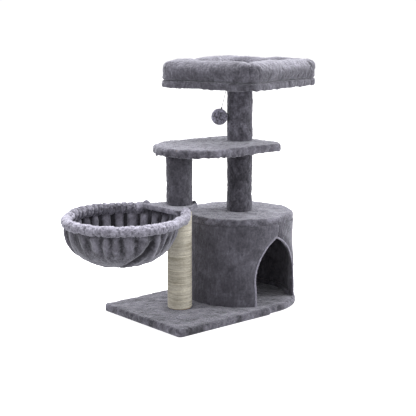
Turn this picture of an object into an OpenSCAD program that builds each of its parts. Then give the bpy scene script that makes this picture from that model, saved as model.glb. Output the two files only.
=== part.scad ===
// Free-standing cat tree: plush-covered base, two posts, half-height platform,
// round condo, hanging basket, top perch with a bolster bed, and a pompom toy.
// Origin: centre of the base's footprint on the floor. +X towards the condo, +Z up.

/* [Base] */
// Length of the base along X
base_l = 636; // [632:1:640]
// Width of the front part of the base
base_w = 416; // [412:1:420]
// Length of the wide part, up to the step
base_wide_l = 399; // [390:1:405]
// Radius of the round end under the condo
base_end_r = 198; // [196:1:200]
// Thickness of the base board
base_board_t = 18; // [15:1:18]

/* [Posts] */
// Outer radius of the cardboard tubes
tube_r = 37.5; // [36.5:0.5:37.5]
// Wall thickness of the tubes
tube_wall = 4; // [3:0.5:5]
// Thickness of the sisal rope winding
sisal_t = 3.8; // [3:0.2:4]
// Thickness of the plush sleeve on a post
post_plush_t = 5.9; // [5:0.1:6]
// Thickness of a wooden end plug
plug_t = 20; // [18:1:22]

/* [Levels] */
// Height of the underside of the basket's bracket
bracket_z = 364; // [362:1:366]
// Height of the underside of the platform
mid_z = 546; // [544:1:548]
// Height of the top of the condo
condo_top = 327; // [325:1:329]
// Height of the underside of the perch
perch_z = 762; // [760:1:764]

/* [Platform] */
// Width of the platform along Y
mid_w = 304; // [300:1:308]
// Thickness of the platform with its plush
mid_t = 26; // [26:1:26]

/* [Condo] */
// Outer radius of the condo wall with its plush
condo_r = 187; // [186:0.5:188]
// Half width of the doorway
door_hw = 97; // [90:1:97]
// Height of the doorway's apex above the floor
door_top = 257; // [250:1:260]

/* [Basket] */
// Radius of the basket's steel ring
ring_r = 182; // [180:0.5:183]
// Distance from the post's axis to the ring's centre
ring_off = 235; // [235:0.5:237]
// Downward slope of the basket away from the post, degrees
ring_sag = 0.3; // [0:0.1:1.6]
// Depth of the pouch below the ring
pouch_d = 152; // [150:1:154]

/* [Perch] */
// Length of the perch
perch_l = 438; // [430:1:442]
// Width of the perch
perch_w = 376; // [370:1:380]
// Turn of the perch about its post, degrees
perch_turn = 14; // [12:0.5:15]
// Thickness of the perch board with its plush
perch_t = 22; // [22:1:22]
// Height of the bolster above the perch board
bolster_h = 65.6; // [62:0.2:66]
// Width of the bolster roll
bolster_w = 64; // [60:1:66]

/* [Toy] */
// Radius of the pompom
pom_r = 29; // [27:0.5:29]

/* [Hidden] */
$fn = 96;

lp = [-148, 0];              // axis of the sisal post
rp = [122, 0];               // axis of the condo post
skin = 4;                    // plush over a board
btop = base_board_t + 2 * skin;
plush_r = tube_r + post_plush_t;
tube_ri = tube_r - tube_wall;
ring_dir = 182;              // basket direction from the post, degrees about Z

// --- outline helpers ---------------------------------------------------
function arc(c, r, a0, a1, n) = [for (i = [0:n]) [c[0] + r * cos(a0 + (a1 - a0) * i / n), c[1] + r * sin(a0 + (a1 - a0) * i / n)]];
// one convex corner of an outline pulled in by d: p corner, s signs to the inside, a0 first angle
function corner(p, s, r, d, a0) = let (q = max(r - d, 1)) arc([p[0] + s[0] * (d + q), p[1] + s[1] * (d + q)], q, a0, a0 + 90, 8);
function round_rect(l, w, r, d) = concat(
  corner([-l / 2, -w / 2], [1, 1], r, d, 180), corner([l / 2, -w / 2], [-1, 1], r, d, 270),
  corner([l / 2, w / 2], [-1, -1], r, d, 0), corner([-l / 2, w / 2], [1, -1], r, d, 90));

base_x0 = -base_l / 2;
base_x1 = base_x0 + base_wide_l;
function base_pts(d) = concat(
  corner([base_x0, -base_w / 2], [1, 1], 18, d, 180),
  corner([base_x1, -base_w / 2], [-1, 1], 8, d, 270),
  [[base_x1 - d, -base_end_r + d]],
  arc(rp, base_end_r - d, -90, 90, 48),
  [[base_x1 - d, base_end_r - d]],
  corner([base_x1, base_w / 2], [-1, -1], 8, d, 0),
  corner([base_x0, base_w / 2], [1, -1], 18, d, 90));

mid_c = -64;                 // centre of the platform's round end
mid_x1 = 191;                // straight end of the platform
function mid_pts(d) = concat(
  arc([mid_c, 0], mid_w / 2 - d, 90, 270, 40),
  corner([mid_x1, -mid_w / 2], [-1, 1], 34, d, 270),
  corner([mid_x1, mid_w / 2], [-1, -1], 34, d, 0));

module slab(pts, z, t) { translate([0, 0, z]) linear_extrude(height = t) polygon(pts); }
module disc(r, z, h) { translate([0, 0, z]) cylinder(r = r, h = h); }
module pipe(ro, ri, z, h) { difference() { disc(ro, z, h); disc(ri, z - 1, h + 2); } }
module at_left() { translate([lp[0], lp[1], 0]) children(); }
module at_right() { translate([rp[0], rp[1], 0]) children(); }
module on_perch() { at_right() rotate([0, 0, perch_turn]) children(); }

grey = [0.45, 0.44, 0.48];
dark = [0.33, 0.32, 0.36];
wood = [0.80, 0.66, 0.46];
card = [0.72, 0.58, 0.42];
steel = [0.70, 0.70, 0.72];

// --- base ---------------------------------------------------------------
screw_angles = [20, 160, 205, 335];
module base_board() {
  color(wood) difference() {
    slab(base_pts(skin), skin, base_board_t);
    at_left() disc(4.6, 0, 40);
    at_left() disc(12, 0, skin + 8);
    at_right() for (a = screw_angles) rotate([0, 0, a]) translate([170, 0, 0]) disc(2.1, 0, 40);
    at_right() for (a = screw_angles) rotate([0, 0, a]) translate([170, 0, 0]) disc(4.4, 0, skin + 3);
  }
}
module base_plush() {
  color(grey) difference() {
    slab(base_pts(0), 0, btop);
    slab(base_pts(skin), skin, base_board_t);
    slab(base_pts(34), -1, skin + 2);
    at_left() disc(4.6, 10, 40);
    at_right() for (a = screw_angles) rotate([0, 0, a]) translate([170, 0, 0]) disc(2.1, 10, 40);
  }
}
module underside_cloth() {
  color([0.12, 0.12, 0.13]) difference() {
    slab(base_pts(35), 2.4, 1.6);
    at_left() disc(13, 0, 10);
    at_right() for (a = screw_angles) rotate([0, 0, a]) translate([170, 0, 0]) disc(5, 0, 10);
  }
}

// --- posts --------------------------------------------------------------
module post_tube(z0, z1) { pipe(tube_r, tube_ri, z0, z1 - z0); }
module post_sleeve(z0, z1, t) { pipe(tube_r + t, tube_r, z0, z1 - z0); }
lu0 = bracket_z + 16;        // bottom of the left upper section
ru0 = mid_z + mid_t;         // bottom of the right upper section
module sisal_post_tube() { color(card) at_left() post_tube(btop, bracket_z - 0.2); }
module sisal_winding() { color([0.80, 0.76, 0.66]) at_left() post_sleeve(btop + 0.5, bracket_z - 0.8, sisal_t); }
module left_upper_tube() { color(card) at_left() post_tube(lu0 + 0.2, mid_z); }
module left_upper_plush() { color(grey) at_left() post_sleeve(lu0 + 0.8, mid_z - 0.5, post_plush_t); }
module right_lower_tube() { color(card) at_right() post_tube(condo_top, mid_z); }
module right_lower_plush() { color(grey) at_right() post_sleeve(condo_top + 0.5, mid_z - 0.5, post_plush_t); }
module right_upper_tube() { color(card) at_right() post_tube(ru0, perch_z); }
module right_upper_plush() { color(grey) at_right() post_sleeve(ru0 + 0.5, perch_z - 0.5, post_plush_t); }
// plugs, [post, height of the plug's underside]
plug_at = [[lp, btop], [lp, bracket_z - 0.2 - plug_t], [lp, lu0 + 0.2], [lp, mid_z - plug_t],
  [rp, condo_top], [rp, mid_z - plug_t], [rp, ru0], [rp, perch_z - plug_t]];
module post_end_plugs() {
  color(wood) for (p = plug_at) translate([p[0][0], p[0][1], p[1]]) difference() {
    cylinder(r = tube_ri, h = plug_t);
    translate([0, 0, -1]) cylinder(r = 6, h = plug_t + 2);
  }
}
module post_threaded_inserts() {
  color(steel) for (p = plug_at) translate([p[0][0], p[0][1], p[1]]) difference() {
    translate([0, 0, 1]) cylinder(r = 6, h = plug_t - 2);
    cylinder(r = 4.05, h = plug_t);
  }
}

// --- bolts and studs (M8) --------------------------------------------------
module hex_head(z, h) { translate([0, 0, z]) difference() { cylinder(r = 6.5, h = h); translate([0, 0, -1]) cylinder(r = 3.4, h = 4.5, $fn = 6); } }
module base_bolt() { color(steel) at_left() { hex_head(4.6, 5.6); disc(4, 10.2, 34); } }
module base_bolt_washer() { color(steel) at_left() pipe(10, 4.2, 10.4, 1.6); }
module condo_top_bolt() { color(steel) at_right() { hex_head(condo_top - 19 - 7.4, 5.6); disc(4, condo_top - 20.8, 38); } }
module condo_top_washer() { color(steel) at_right() pipe(10, 4.2, condo_top - 19 - 1.6, 1.6); }
// studs, [post, centre height, length]
stud_at = [[lp, bracket_z + 8, 50], [lp, mid_z - 0.1, 31.8], [rp, mid_z + mid_t / 2, 60], [rp, perch_z - 0.4, 31.2]];
module joint_studs() { color(steel) for (s = stud_at) translate([s[0][0], s[0][1], s[1] - s[2] / 2]) cylinder(r = 4, h = s[2]); }
module t_nut(z) { translate([0, 0, z]) difference() { union() { cylinder(r = 5.4, h = 12); cylinder(r = 11, h = 1.6); } translate([0, 0, -1]) cylinder(r = 4.05, h = 14); } }
module board_t_nuts() {
  color(steel) { at_left() t_nut(mid_z + skin); at_right() t_nut(perch_z + 3.5); }
}

// --- condo ---------------------------------------------------------------
// doorway: upright sides and a pointed arch that leans left, facing -Y and turned 8 degrees towards +X
door_turn = 8;
arch_z = 100;
arch_c = (pow(door_top - arch_z, 2) - door_hw * door_hw) / (2 * door_hw);
arch_r = door_hw + arch_c;
apex_a = acos(arch_c / arch_r);
function lean(p) = [p[0] - 24 * pow((p[1] - btop) / 231, 2), p[1]];
function door_pts(g, z0) = concat([[-door_hw - g, z0], [door_hw + g, z0]], z0 < btop ? [[door_hw + g, btop]] : [],
  [for (i = [0:16]) let (a = apex_a * i / 16) lean([-arch_c + (arch_r + g) * cos(a), arch_z + (arch_r + g) * sin(a)])],
  [for (i = [1:16]) let (a = 180 - apex_a + apex_a * i / 16) lean([arch_c + (arch_r + g) * cos(a), arch_z + (arch_r + g) * sin(a)])],
  z0 < btop ? [[-door_hw - g, btop]] : []);
module door_cut(g, z0) { at_right() rotate([0, 0, door_turn]) rotate([90, 0, 0]) linear_extrude(height = 230) polygon(door_pts(g, z0)); }
wall_ro = condo_r - skin;
wall_ri = wall_ro - 3;
lining_ri = wall_ri - 3.5;
module condo_base_hoop() {
  color(wood) difference() {
    at_right() pipe(lining_ri - 0.2, lining_ri - 13, btop, 15);
    door_cut(4, 0);
    at_right() for (a = screw_angles) rotate([0, 0, a]) translate([170, 0, 0]) disc(1.9, 20, 18);
  }
}
module condo_hoop_screws() {
  color(steel) at_right() for (a = screw_angles) rotate([0, 0, a]) translate([170, 0, 0]) { disc(4, 4.2, 2.7); disc(1.8, 6.8, 30); }
}
module condo_wall_board() { color(card) difference() { at_right() pipe(wall_ro, wall_ri, btop, condo_top - skin - btop); door_cut(4, 0); } }
module condo_wall_plush() { color(grey) difference() { at_right() pipe(condo_r, wall_ro, btop, 277); door_cut(4, 0); } }
module condo_lining() { color(dark) difference() { at_right() pipe(wall_ri, lining_ri, btop, 281); door_cut(4, 0); } }
module doorway_trim() {
  color([0.62, 0.61, 0.66]) intersection() {
    difference() { door_cut(4, btop); door_cut(0, 0); }
    at_right() pipe(condo_r + 1.5, lining_ri - 1.5, btop, 260);
  }
}
module condo_top_board() { color(wood) difference() { at_right() disc(wall_ri, condo_top - 19, 15); at_right() disc(4.6, condo_top - 30, 40); } }
module condo_top_plush() {
  color(grey) at_right() difference() {
    union() { disc(condo_r + 2, condo_top - 23, 23); }
    disc(wall_ro, condo_top - 30, 26);
    disc(4.6, condo_top - 30, 40);
  }
}

// --- platform ---------------------------------------------------------------
module platform_board() {
  color(wood) difference() {
    slab(mid_pts(skin), mid_z + skin, mid_t - 2 * skin);
    at_left() disc(5.6, mid_z - 1, 17.2);
    at_left() disc(11.2, mid_z - 1, 6.8);
    at_right() disc(4.6, mid_z - 1, 40);
  }
}
module platform_plush() {
  color(grey) difference() {
    slab(mid_pts(0), mid_z, mid_t);
    slab(mid_pts(skin), mid_z + skin, mid_t - 2 * skin);
    at_left() disc(4.6, mid_z - 1, 10);
    at_right() disc(4.6, mid_z - 1, 40);
  }
}

// --- perch -------------------------------------------------------------------
module perch_slab(d, z, t) { on_perch() slab(round_rect(perch_l, perch_w, 46, d), z, t); }
module perch_board() {
  color(wood) difference() {
    perch_slab(3.5, perch_z + 3.5, perch_t - 7);
    at_right() disc(5.6, perch_z, 15.8);
    at_right() disc(11.2, perch_z, 5.4);
  }
}
module perch_plush() {
  color(grey) difference() {
    perch_slab(0, perch_z, perch_t);
    perch_slab(3.5, perch_z + 3.5, perch_t - 7);
    at_right() disc(4.6, perch_z - 1, 10);
  }
}
bed_z = perch_z + perch_t + 0.4;
module bed_bolster() {
  color(grey) difference() {
    union() {
      perch_slab(5, bed_z, 8);
      perch_slab(1, bed_z + 8, bolster_h - 22);
      perch_slab(9, bed_z + bolster_h - 14, 8);
      perch_slab(19, bed_z + bolster_h - 6, 6);
    }
    perch_slab(bolster_w, bed_z - 1, 80);
    perch_slab(bolster_w - 18, bed_z + bolster_h - 6, 10);
    perch_slab(bolster_w - 9, bed_z + bolster_h - 14, 20);
  }
}
module bed_pad() { color(dark) perch_slab(bolster_w + 0.5, bed_z, 16); }

// --- basket --------------------------------------------------------------------
// frame on the left post: +X' towards the basket
module on_bracket() { at_left() rotate([0, 0, ring_dir]) children(); }
ring_z = bracket_z - 3.5;    // centre of the ring's wire where it meets the bracket
near_x = ring_off - ring_r;  // ring's nearest point to the post
module sagged() { on_bracket() translate([near_x, 0, ring_z]) rotate([0, ring_sag, 0]) translate([-near_x, 0, 0]) children(); }
function bracket_pts(d) = let (f = 82 - d, b = -58 + d, w = 97 - d, v = 32 - d, q = max(16 - d, 6)) concat(
  arc([f - q, w - q], q, 0, 66, 6), arc([b + 2 * q, v - 0.6 * q], 1.6 * q, 112, 180, 8),
  arc([b + 2 * q, -v + 0.6 * q], 1.6 * q, 180, 248, 8), arc([f - q, -w + q], q, -66, 0, 6));
saddle_a = [-20, 20];
module saddle_place() { for (a = saddle_a) translate([ring_off, 0, 0]) rotate([0, 0, a]) translate([-ring_r, 0, 0]) children(); }
module saddle_holes(r, z0, z1) { on_bracket() saddle_place() for (s = [-9, 9]) translate([s, 0, 0]) disc(r, z0, z1 - z0); }
module bracket_board() {
  color(wood) difference() {
    on_bracket() slab(bracket_pts(2), bracket_z + 2, 12);
    at_left() disc(4.6, bracket_z - 1, 30);
    saddle_holes(1.7, bracket_z, bracket_z + 12.5);
  }
}
module bracket_plush() {
  color(grey) difference() {
    on_bracket() slab(bracket_pts(0), bracket_z, 16);
    on_bracket() slab(bracket_pts(2), bracket_z + 2, 12);
    at_left() disc(4.6, bracket_z - 1, 30);
    saddle_holes(1.7, bracket_z - 1, bracket_z + 5);
  }
}
module basket_ring() { color(steel) sagged() translate([ring_off, 0, 0]) rotate_extrude() translate([ring_r, 0]) circle(r = 3, $fn = 24); }
module ring_saddles() {
  color(steel) on_bracket() saddle_place() difference() {
    union() {
      translate([-13, -5, bracket_z - 1.4]) cube([26, 10, 1.4]);
      translate([0, 5, ring_z - 0.4]) rotate([90, 0, 0]) cylinder(r = 5.2, h = 10, $fn = 32);
    }
    translate([0, 6, ring_z - 0.4]) rotate([90, 0, 0]) cylinder(r = 4, h = 12, $fn = 32);
    translate([-4, -6, ring_z - 0.4]) cube([8, 12, 8]);
    translate([-8, -6, bracket_z]) cube([16, 12, 8]);
    for (s = [-9, 9]) translate([s, 0, 0]) disc(1.7, bracket_z - 3, 6);
  }
}
module saddle_screws() {
  color(steel) on_bracket() saddle_place() for (s = [-9, 9]) translate([s, 0, 0]) { disc(3, bracket_z - 3.2, 1.8); disc(1.5, bracket_z - 1.6, 13.4); }
}
module basket_rim_sleeve() {
  color(grey) difference() {
    sagged() translate([ring_off, 0, 0]) rotate_extrude() difference() {
      translate([ring_r, 0]) circle(r = 15, $fn = 32);
      translate([ring_r, 0]) circle(r = 3.2, $fn = 24);
    }
    on_bracket() translate([-60, -140, ring_z - 40]) cube([144, 280, 80]);
  }
}
pd = pouch_d;
function pouch_out() = [[179, -17.5], [179.5, -32], [176, -58], [165, -85], [145, -109], [112, -128], [62, 9 - pd], [0, -pd]];
function pouch_in() = [[0, 4 - pd], [61, 13 - pd], [110.5, -124.2], [142.4, -106], [162, -82.5], [172.3, -57], [176, -32], [175.5, -17.5]];
module basket_pouch() {
  color(dark) sagged() translate([ring_off, 0, 0]) rotate_extrude() polygon(concat(pouch_out(), pouch_in()));
}

// --- toy ------------------------------------------------------------------------
toy_dir = 155;
bar_z = perch_z - 5;
hang = 47.5;                 // staple's distance from the post's axis
pom_off = plush_r + pom_r + 0.6;
pom_z = 655;
toy_lean = atan((pom_off - hang) / (bar_z - 4.7 - pom_z));
module at_toy() { at_right() rotate([0, 0, toy_dir]) children(); }
module toy_staple() {
  color(steel) at_toy() translate([hang, 0, bar_z]) {
    rotate([90, 0, 0]) translate([0, 0, -6]) cylinder(r = 0.7, h = 12, $fn = 24);
    for (s = [-5.3, 5.3]) translate([0, s, 0]) cylinder(r = 0.7, h = 14, $fn = 24);
  }
}
module toy_ring() { color(steel) at_toy() translate([hang, 0, bar_z - 1.5]) rotate([90, 0, 0]) rotate_extrude($fn = 48) translate([3.2, 0]) circle(r = 0.8, $fn = 20); }
module leaning() { at_toy() translate([hang, 0, bar_z - 4.7]) rotate([0, -toy_lean, 0]) children(); }
pom_len = sqrt(pow(pom_off - hang, 2) + pow(bar_z - 4.7 - pom_z, 2));
string_r = 0.9;
// eye of the string, a loop round the ring's lowest point
module toy_cord_eye() { color([0.85, 0.84, 0.80]) at_toy() translate([hang, 0, bar_z - 4.7]) rotate([0, 90, 0]) translate([0, 0, -0.6]) pipe(2, 1.15, 0, 1.2); }
// string: straight under the pompom's weight, rings every 5 mm
str_n = 12;
str_top = 1.9;
str_l = pom_len - pom_r - 4.2 - str_top;
str_v = [for (i = [0:str_n], k = [0:7]) [string_r * cos(45 * k), string_r * sin(45 * k), -str_top - str_l * i / str_n]];
str_f = concat([[for (k = [0:7]) k]], [[for (k = [7:-1:0]) str_n * 8 + k]],
  [for (i = [0:str_n - 1], k = [0:7]) [i * 8 + k, (i + 1) * 8 + k, (i + 1) * 8 + (k + 1) % 8, i * 8 + (k + 1) % 8]]);
module toy_string() { color([0.20, 0.20, 0.22]) leaning() polyhedron(points = str_v, faces = str_f, convexity = 2); }
module pompom_knot() { color([0.15, 0.15, 0.17]) leaning() translate([0, 0, -pom_len + pom_r - 2]) cylinder(r = 2.6, h = 6.2, $fn = 32); }
module toy_pompom() {
  color(grey) leaning() difference() {
    translate([0, 0, -pom_len]) sphere(r = pom_r, $fn = 64);
    translate([0, 0, -pom_len + pom_r - 2]) cylinder(r = 2.6, h = 8, $fn = 32);
  }
}

base_board();
base_plush();
underside_cloth();
sisal_post_tube();
sisal_winding();
left_upper_tube();
left_upper_plush();
right_lower_tube();
right_lower_plush();
right_upper_tube();
right_upper_plush();
post_end_plugs();
post_threaded_inserts();
base_bolt();
base_bolt_washer();
condo_top_bolt();
condo_top_washer();
joint_studs();
board_t_nuts();
condo_base_hoop();
condo_hoop_screws();
condo_wall_board();
condo_wall_plush();
condo_lining();
doorway_trim();
condo_top_board();
condo_top_plush();
platform_board();
platform_plush();
perch_board();
perch_plush();
bracket_board();
bracket_plush();
basket_ring();
ring_saddles();
saddle_screws();
basket_rim_sleeve();
basket_pouch();
bed_bolster();
bed_pad();
toy_staple();
toy_ring();
toy_cord_eye();
toy_string();
pompom_knot();
toy_pompom();
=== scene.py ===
import bpy
import math
import numpy as np
from mathutils import Vector, Matrix


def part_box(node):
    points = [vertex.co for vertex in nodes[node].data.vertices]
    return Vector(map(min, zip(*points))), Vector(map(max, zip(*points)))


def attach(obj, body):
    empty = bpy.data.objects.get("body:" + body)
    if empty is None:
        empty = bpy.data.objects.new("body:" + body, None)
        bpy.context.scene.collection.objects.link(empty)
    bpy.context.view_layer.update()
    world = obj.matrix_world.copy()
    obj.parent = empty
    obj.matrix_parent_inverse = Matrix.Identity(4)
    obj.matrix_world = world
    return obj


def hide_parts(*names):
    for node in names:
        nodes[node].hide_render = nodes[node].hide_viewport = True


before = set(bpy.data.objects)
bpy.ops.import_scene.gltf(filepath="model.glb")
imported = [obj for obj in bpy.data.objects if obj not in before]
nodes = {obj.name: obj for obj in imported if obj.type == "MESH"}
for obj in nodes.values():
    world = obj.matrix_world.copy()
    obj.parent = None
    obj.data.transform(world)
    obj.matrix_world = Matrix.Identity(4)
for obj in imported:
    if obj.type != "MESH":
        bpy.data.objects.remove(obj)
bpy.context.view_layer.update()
MM = 0.001

# ---------------------------------------------------------------- measures from the frame
def centre(node):
    lo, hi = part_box(node)
    return (lo + hi) / 2

def zr(node):
    lo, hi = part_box(node)
    return lo.z, hi.z

LP = centre("sisal_post_tube"); RP = centre("right_lower_tube")
LPX, LPY = LP.x, LP.y
RPX, RPY = RP.x, RP.y

# ---------------------------------------------------------------- camera
cam_data = bpy.data.cameras.new("camera")
cam = bpy.data.objects.new("camera", cam_data)
bpy.context.scene.collection.objects.link(cam)
cam_data.sensor_width = 36.0
cam_data.lens = 36.0 * 1040.9 / 416.0
cam_data.clip_start, cam_data.clip_end = 0.05, 60
HEAD, PITCH = math.radians(49.29), math.radians(10.67)
look = Vector((math.cos(HEAD) * math.cos(PITCH), math.sin(HEAD) * math.cos(PITCH), -math.sin(PITCH)))
cam.location = (-2.2937, -2.6398, 1.0075)
cam.rotation_mode = "QUATERNION"
cam.rotation_quaternion = look.to_track_quat("-Z", "Y")
bpy.context.scene.camera = cam

# ---------------------------------------------------------------- noise
def _hash(ix, iy, iz, s):
    with np.errstate(over="ignore"):
        h = (ix.astype(np.uint32) * np.uint32(374761393) + iy.astype(np.uint32) * np.uint32(668265263)
             + iz.astype(np.uint32) * np.uint32(2246822519) + np.uint32((s * 3266489917) & 0xffffffff))
        h = (h ^ (h >> np.uint32(13))) * np.uint32(1274126177)
        h = h ^ (h >> np.uint32(16))
    return (h & np.uint32(0xffffff)).astype(np.float64) / float(0xffffff) * 2 - 1

def noise(p, s=0):
    p = np.asarray(p, float)
    i = np.floor(p).astype(np.int64)
    f = p - i
    u = f * f * f * (f * (f * 6 - 15) + 10)
    out = 0
    for dx in (0, 1):
        wx = u[:, 0] if dx else 1 - u[:, 0]
        for dy in (0, 1):
            wy = u[:, 1] if dy else 1 - u[:, 1]
            for dz in (0, 1):
                wz = u[:, 2] if dz else 1 - u[:, 2]
                out = out + wx * wy * wz * _hash(i[:, 0] + dx, i[:, 1] + dy, i[:, 2] + dz, s)
    return out

def fbm(p, s=0, octaves=3, gain=0.5):
    a, t, out = 1.0, 0.0, 0.0
    q = np.asarray(p, float)
    for k in range(octaves):
        out = out + a * noise(q, s + 17 * k)
        t += a
        a *= gain
        q = q * 2.03 + 11.7
    return out / t

def sstep(a, b, x):
    t = np.clip((np.asarray(x, float) - a) / (b - a), 0, 1)
    return t * t * (3 - 2 * t)

# ---------------------------------------------------------------- mesh helpers (built in millimetres)
def make(name, v, f, smooth=True):
    me = bpy.data.meshes.new(name)
    me.from_pydata((np.asarray(v, float) * MM).tolist(), [], f if isinstance(f, list) else f.tolist())
    me.validate()
    me.update()
    ob = bpy.data.objects.new(name, me)
    bpy.context.scene.collection.objects.link(ob)
    if smooth:
        me.shade_smooth()
    return ob

def grid_faces(nu, nv, wu=False, wv=False, flip=False):
    u = np.arange(nu if wu else nu - 1)
    v = np.arange(nv if wv else nv - 1)
    U, V = np.meshgrid(u, v, indexing="ij")
    U1, V1 = (U + 1) % nu, (V + 1) % nv
    q = np.stack([U * nv + V, U1 * nv + V, U1 * nv + V1, U * nv + V1], -1).reshape(-1, 4)
    return q[:, ::-1] if flip else q

def coords(ob):
    a = np.empty(len(ob.data.vertices) * 3)
    ob.data.vertices.foreach_get("co", a)
    return a.reshape(-1, 3) / MM

def set_coords(ob, c):
    ob.data.vertices.foreach_set("co", (np.asarray(c) * MM).ravel())
    ob.data.update()

def normals(ob):
    a = np.empty(len(ob.data.vertices) * 3, np.float32)
    ob.data.vertex_normals.foreach_get("vector", a)
    return a.reshape(-1, 3).astype(float)

def push(ob, amount):
    set_coords(ob, coords(ob) + normals(ob) * np.asarray(amount)[:, None])

def apply_mods(ob):
    dg = bpy.context.evaluated_depsgraph_get()
    me = bpy.data.meshes.new_from_object(ob.evaluated_get(dg), preserve_all_data_layers=True, depsgraph=dg)
    old = ob.data
    ob.modifiers.clear()
    ob.data = me
    bpy.data.meshes.remove(old)
    me.name = ob.name
    return ob

def remesh(ob, voxel, smooth=2):
    m = ob.modifiers.new("r", "REMESH")
    m.mode = "VOXEL"
    m.voxel_size = voxel * MM
    m.use_smooth_shade = True
    if smooth:
        s = ob.modifiers.new("s", "SMOOTH")
        s.iterations = smooth
        s.factor = 0.5
    apply_mods(ob)
    ob.data.shade_smooth()
    return ob

# outlines: the same rules as the boards
def arc(c, r, a0, a1, n):
    return [(c[0] + r * math.cos(math.radians(a0 + (a1 - a0) * i / n)), c[1] + r * math.sin(math.radians(a0 + (a1 - a0) * i / n))) for i in range(n + 1)]

def corner(p, s, r, d, a0, n=8):
    q = max(r - d, 1)
    return arc((p[0] + s[0] * (d + q), p[1] + s[1] * (d + q)), q, a0, a0 + 90, n)

def round_rect(l, w, r, d):
    return (corner((-l / 2, -w / 2), (1, 1), r, d, 180) + corner((l / 2, -w / 2), (-1, 1), r, d, 270)
            + corner((l / 2, w / 2), (-1, -1), r, d, 0) + corner((-l / 2, w / 2), (1, -1), r, d, 90))

blo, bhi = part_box("base_plush")
BX0, BW = blo.x / MM, (bhi.y - blo.y) / MM
BR = bhi.x / MM - RPX / MM
BX1 = BX0 + 399
RPm = (RPX / MM, RPY / MM); LPm = (LPX / MM, LPY / MM)

def base_pts(d):
    return (corner((BX0, -BW / 2), (1, 1), 18, d, 180) + corner((BX1, -BW / 2), (-1, 1), 8, d, 270)
            + [(BX1 - d, -BR + d)] + arc(RPm, BR - d, -90, 90, 48) + [(BX1 - d, BR - d)]
            + corner((BX1, BW / 2), (-1, -1), 8, d, 0) + corner((BX0, BW / 2), (1, -1), 18, d, 90))

mlo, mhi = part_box("platform_plush")
MW = (mhi.y - mlo.y) / MM
MC = mlo.x / MM + MW / 2
MX1 = mhi.x / MM

def mid_pts(d):
    return arc((MC, 0), MW / 2 - d, 90, 270, 40) + corner((MX1, -MW / 2), (-1, 1), 34, d, 270) + corner((MX1, MW / 2), (-1, -1), 34, d, 0)

def dense(fn, step):
    """fn(d) gives an outline; returns g(d) that gives the same outline cut into even steps, the same count at every d"""
    p0 = np.array(fn(0.0))
    seg = np.linalg.norm(np.roll(p0, -1, 0) - p0, axis=1)
    cuts = np.maximum(1, np.round(seg / step).astype(int))
    def g(d):
        p = np.array(fn(d))
        out = []
        for i, c in enumerate(cuts):
            a, b = p[i], p[(i + 1) % len(p)]
            t = (np.arange(c) / c)[:, None]
            out.append(a * (1 - t) + b * t)
        return np.vstack(out)
    return g

def slab(name, fn, z0, z1, r_top, r_bot, voxel, place=None):
    """closed slab with rounded edges from an outline, evenly meshed"""
    prof = [(r_bot * (1 - math.sin(a)), z0 + r_bot * (1 - math.cos(a))) for a in np.radians(np.linspace(0, 90, 6))]
    prof += [(r_top * (1 - math.cos(a)), z1 - r_top * (1 - math.sin(a))) for a in np.radians(np.linspace(0, 90, 7))]
    rings = [np.array(fn(d)) for d, z in prof]
    n = len(rings[0])
    v = np.vstack([np.column_stack([r, np.full(n, z)]) for r, (d, z) in zip(rings, prof)])
    f = grid_faces(len(prof), n, False, True, flip=True).tolist()
    f.append(list(range(n))[::-1])
    f.append([(len(prof) - 1) * n + i for i in range(n)])
    ob = make(name, v if place is None else place(v), f)
    return remesh(ob, voxel)

def rot2(v, deg, c=(0, 0)):
    a = math.radians(deg)
    v = np.array(v, float)
    x, y = v[:, 0].copy(), v[:, 1].copy()
    v[:, 0] = x * math.cos(a) - y * math.sin(a) + c[0]
    v[:, 1] = x * math.sin(a) + y * math.cos(a) + c[1]
    return v

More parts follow.
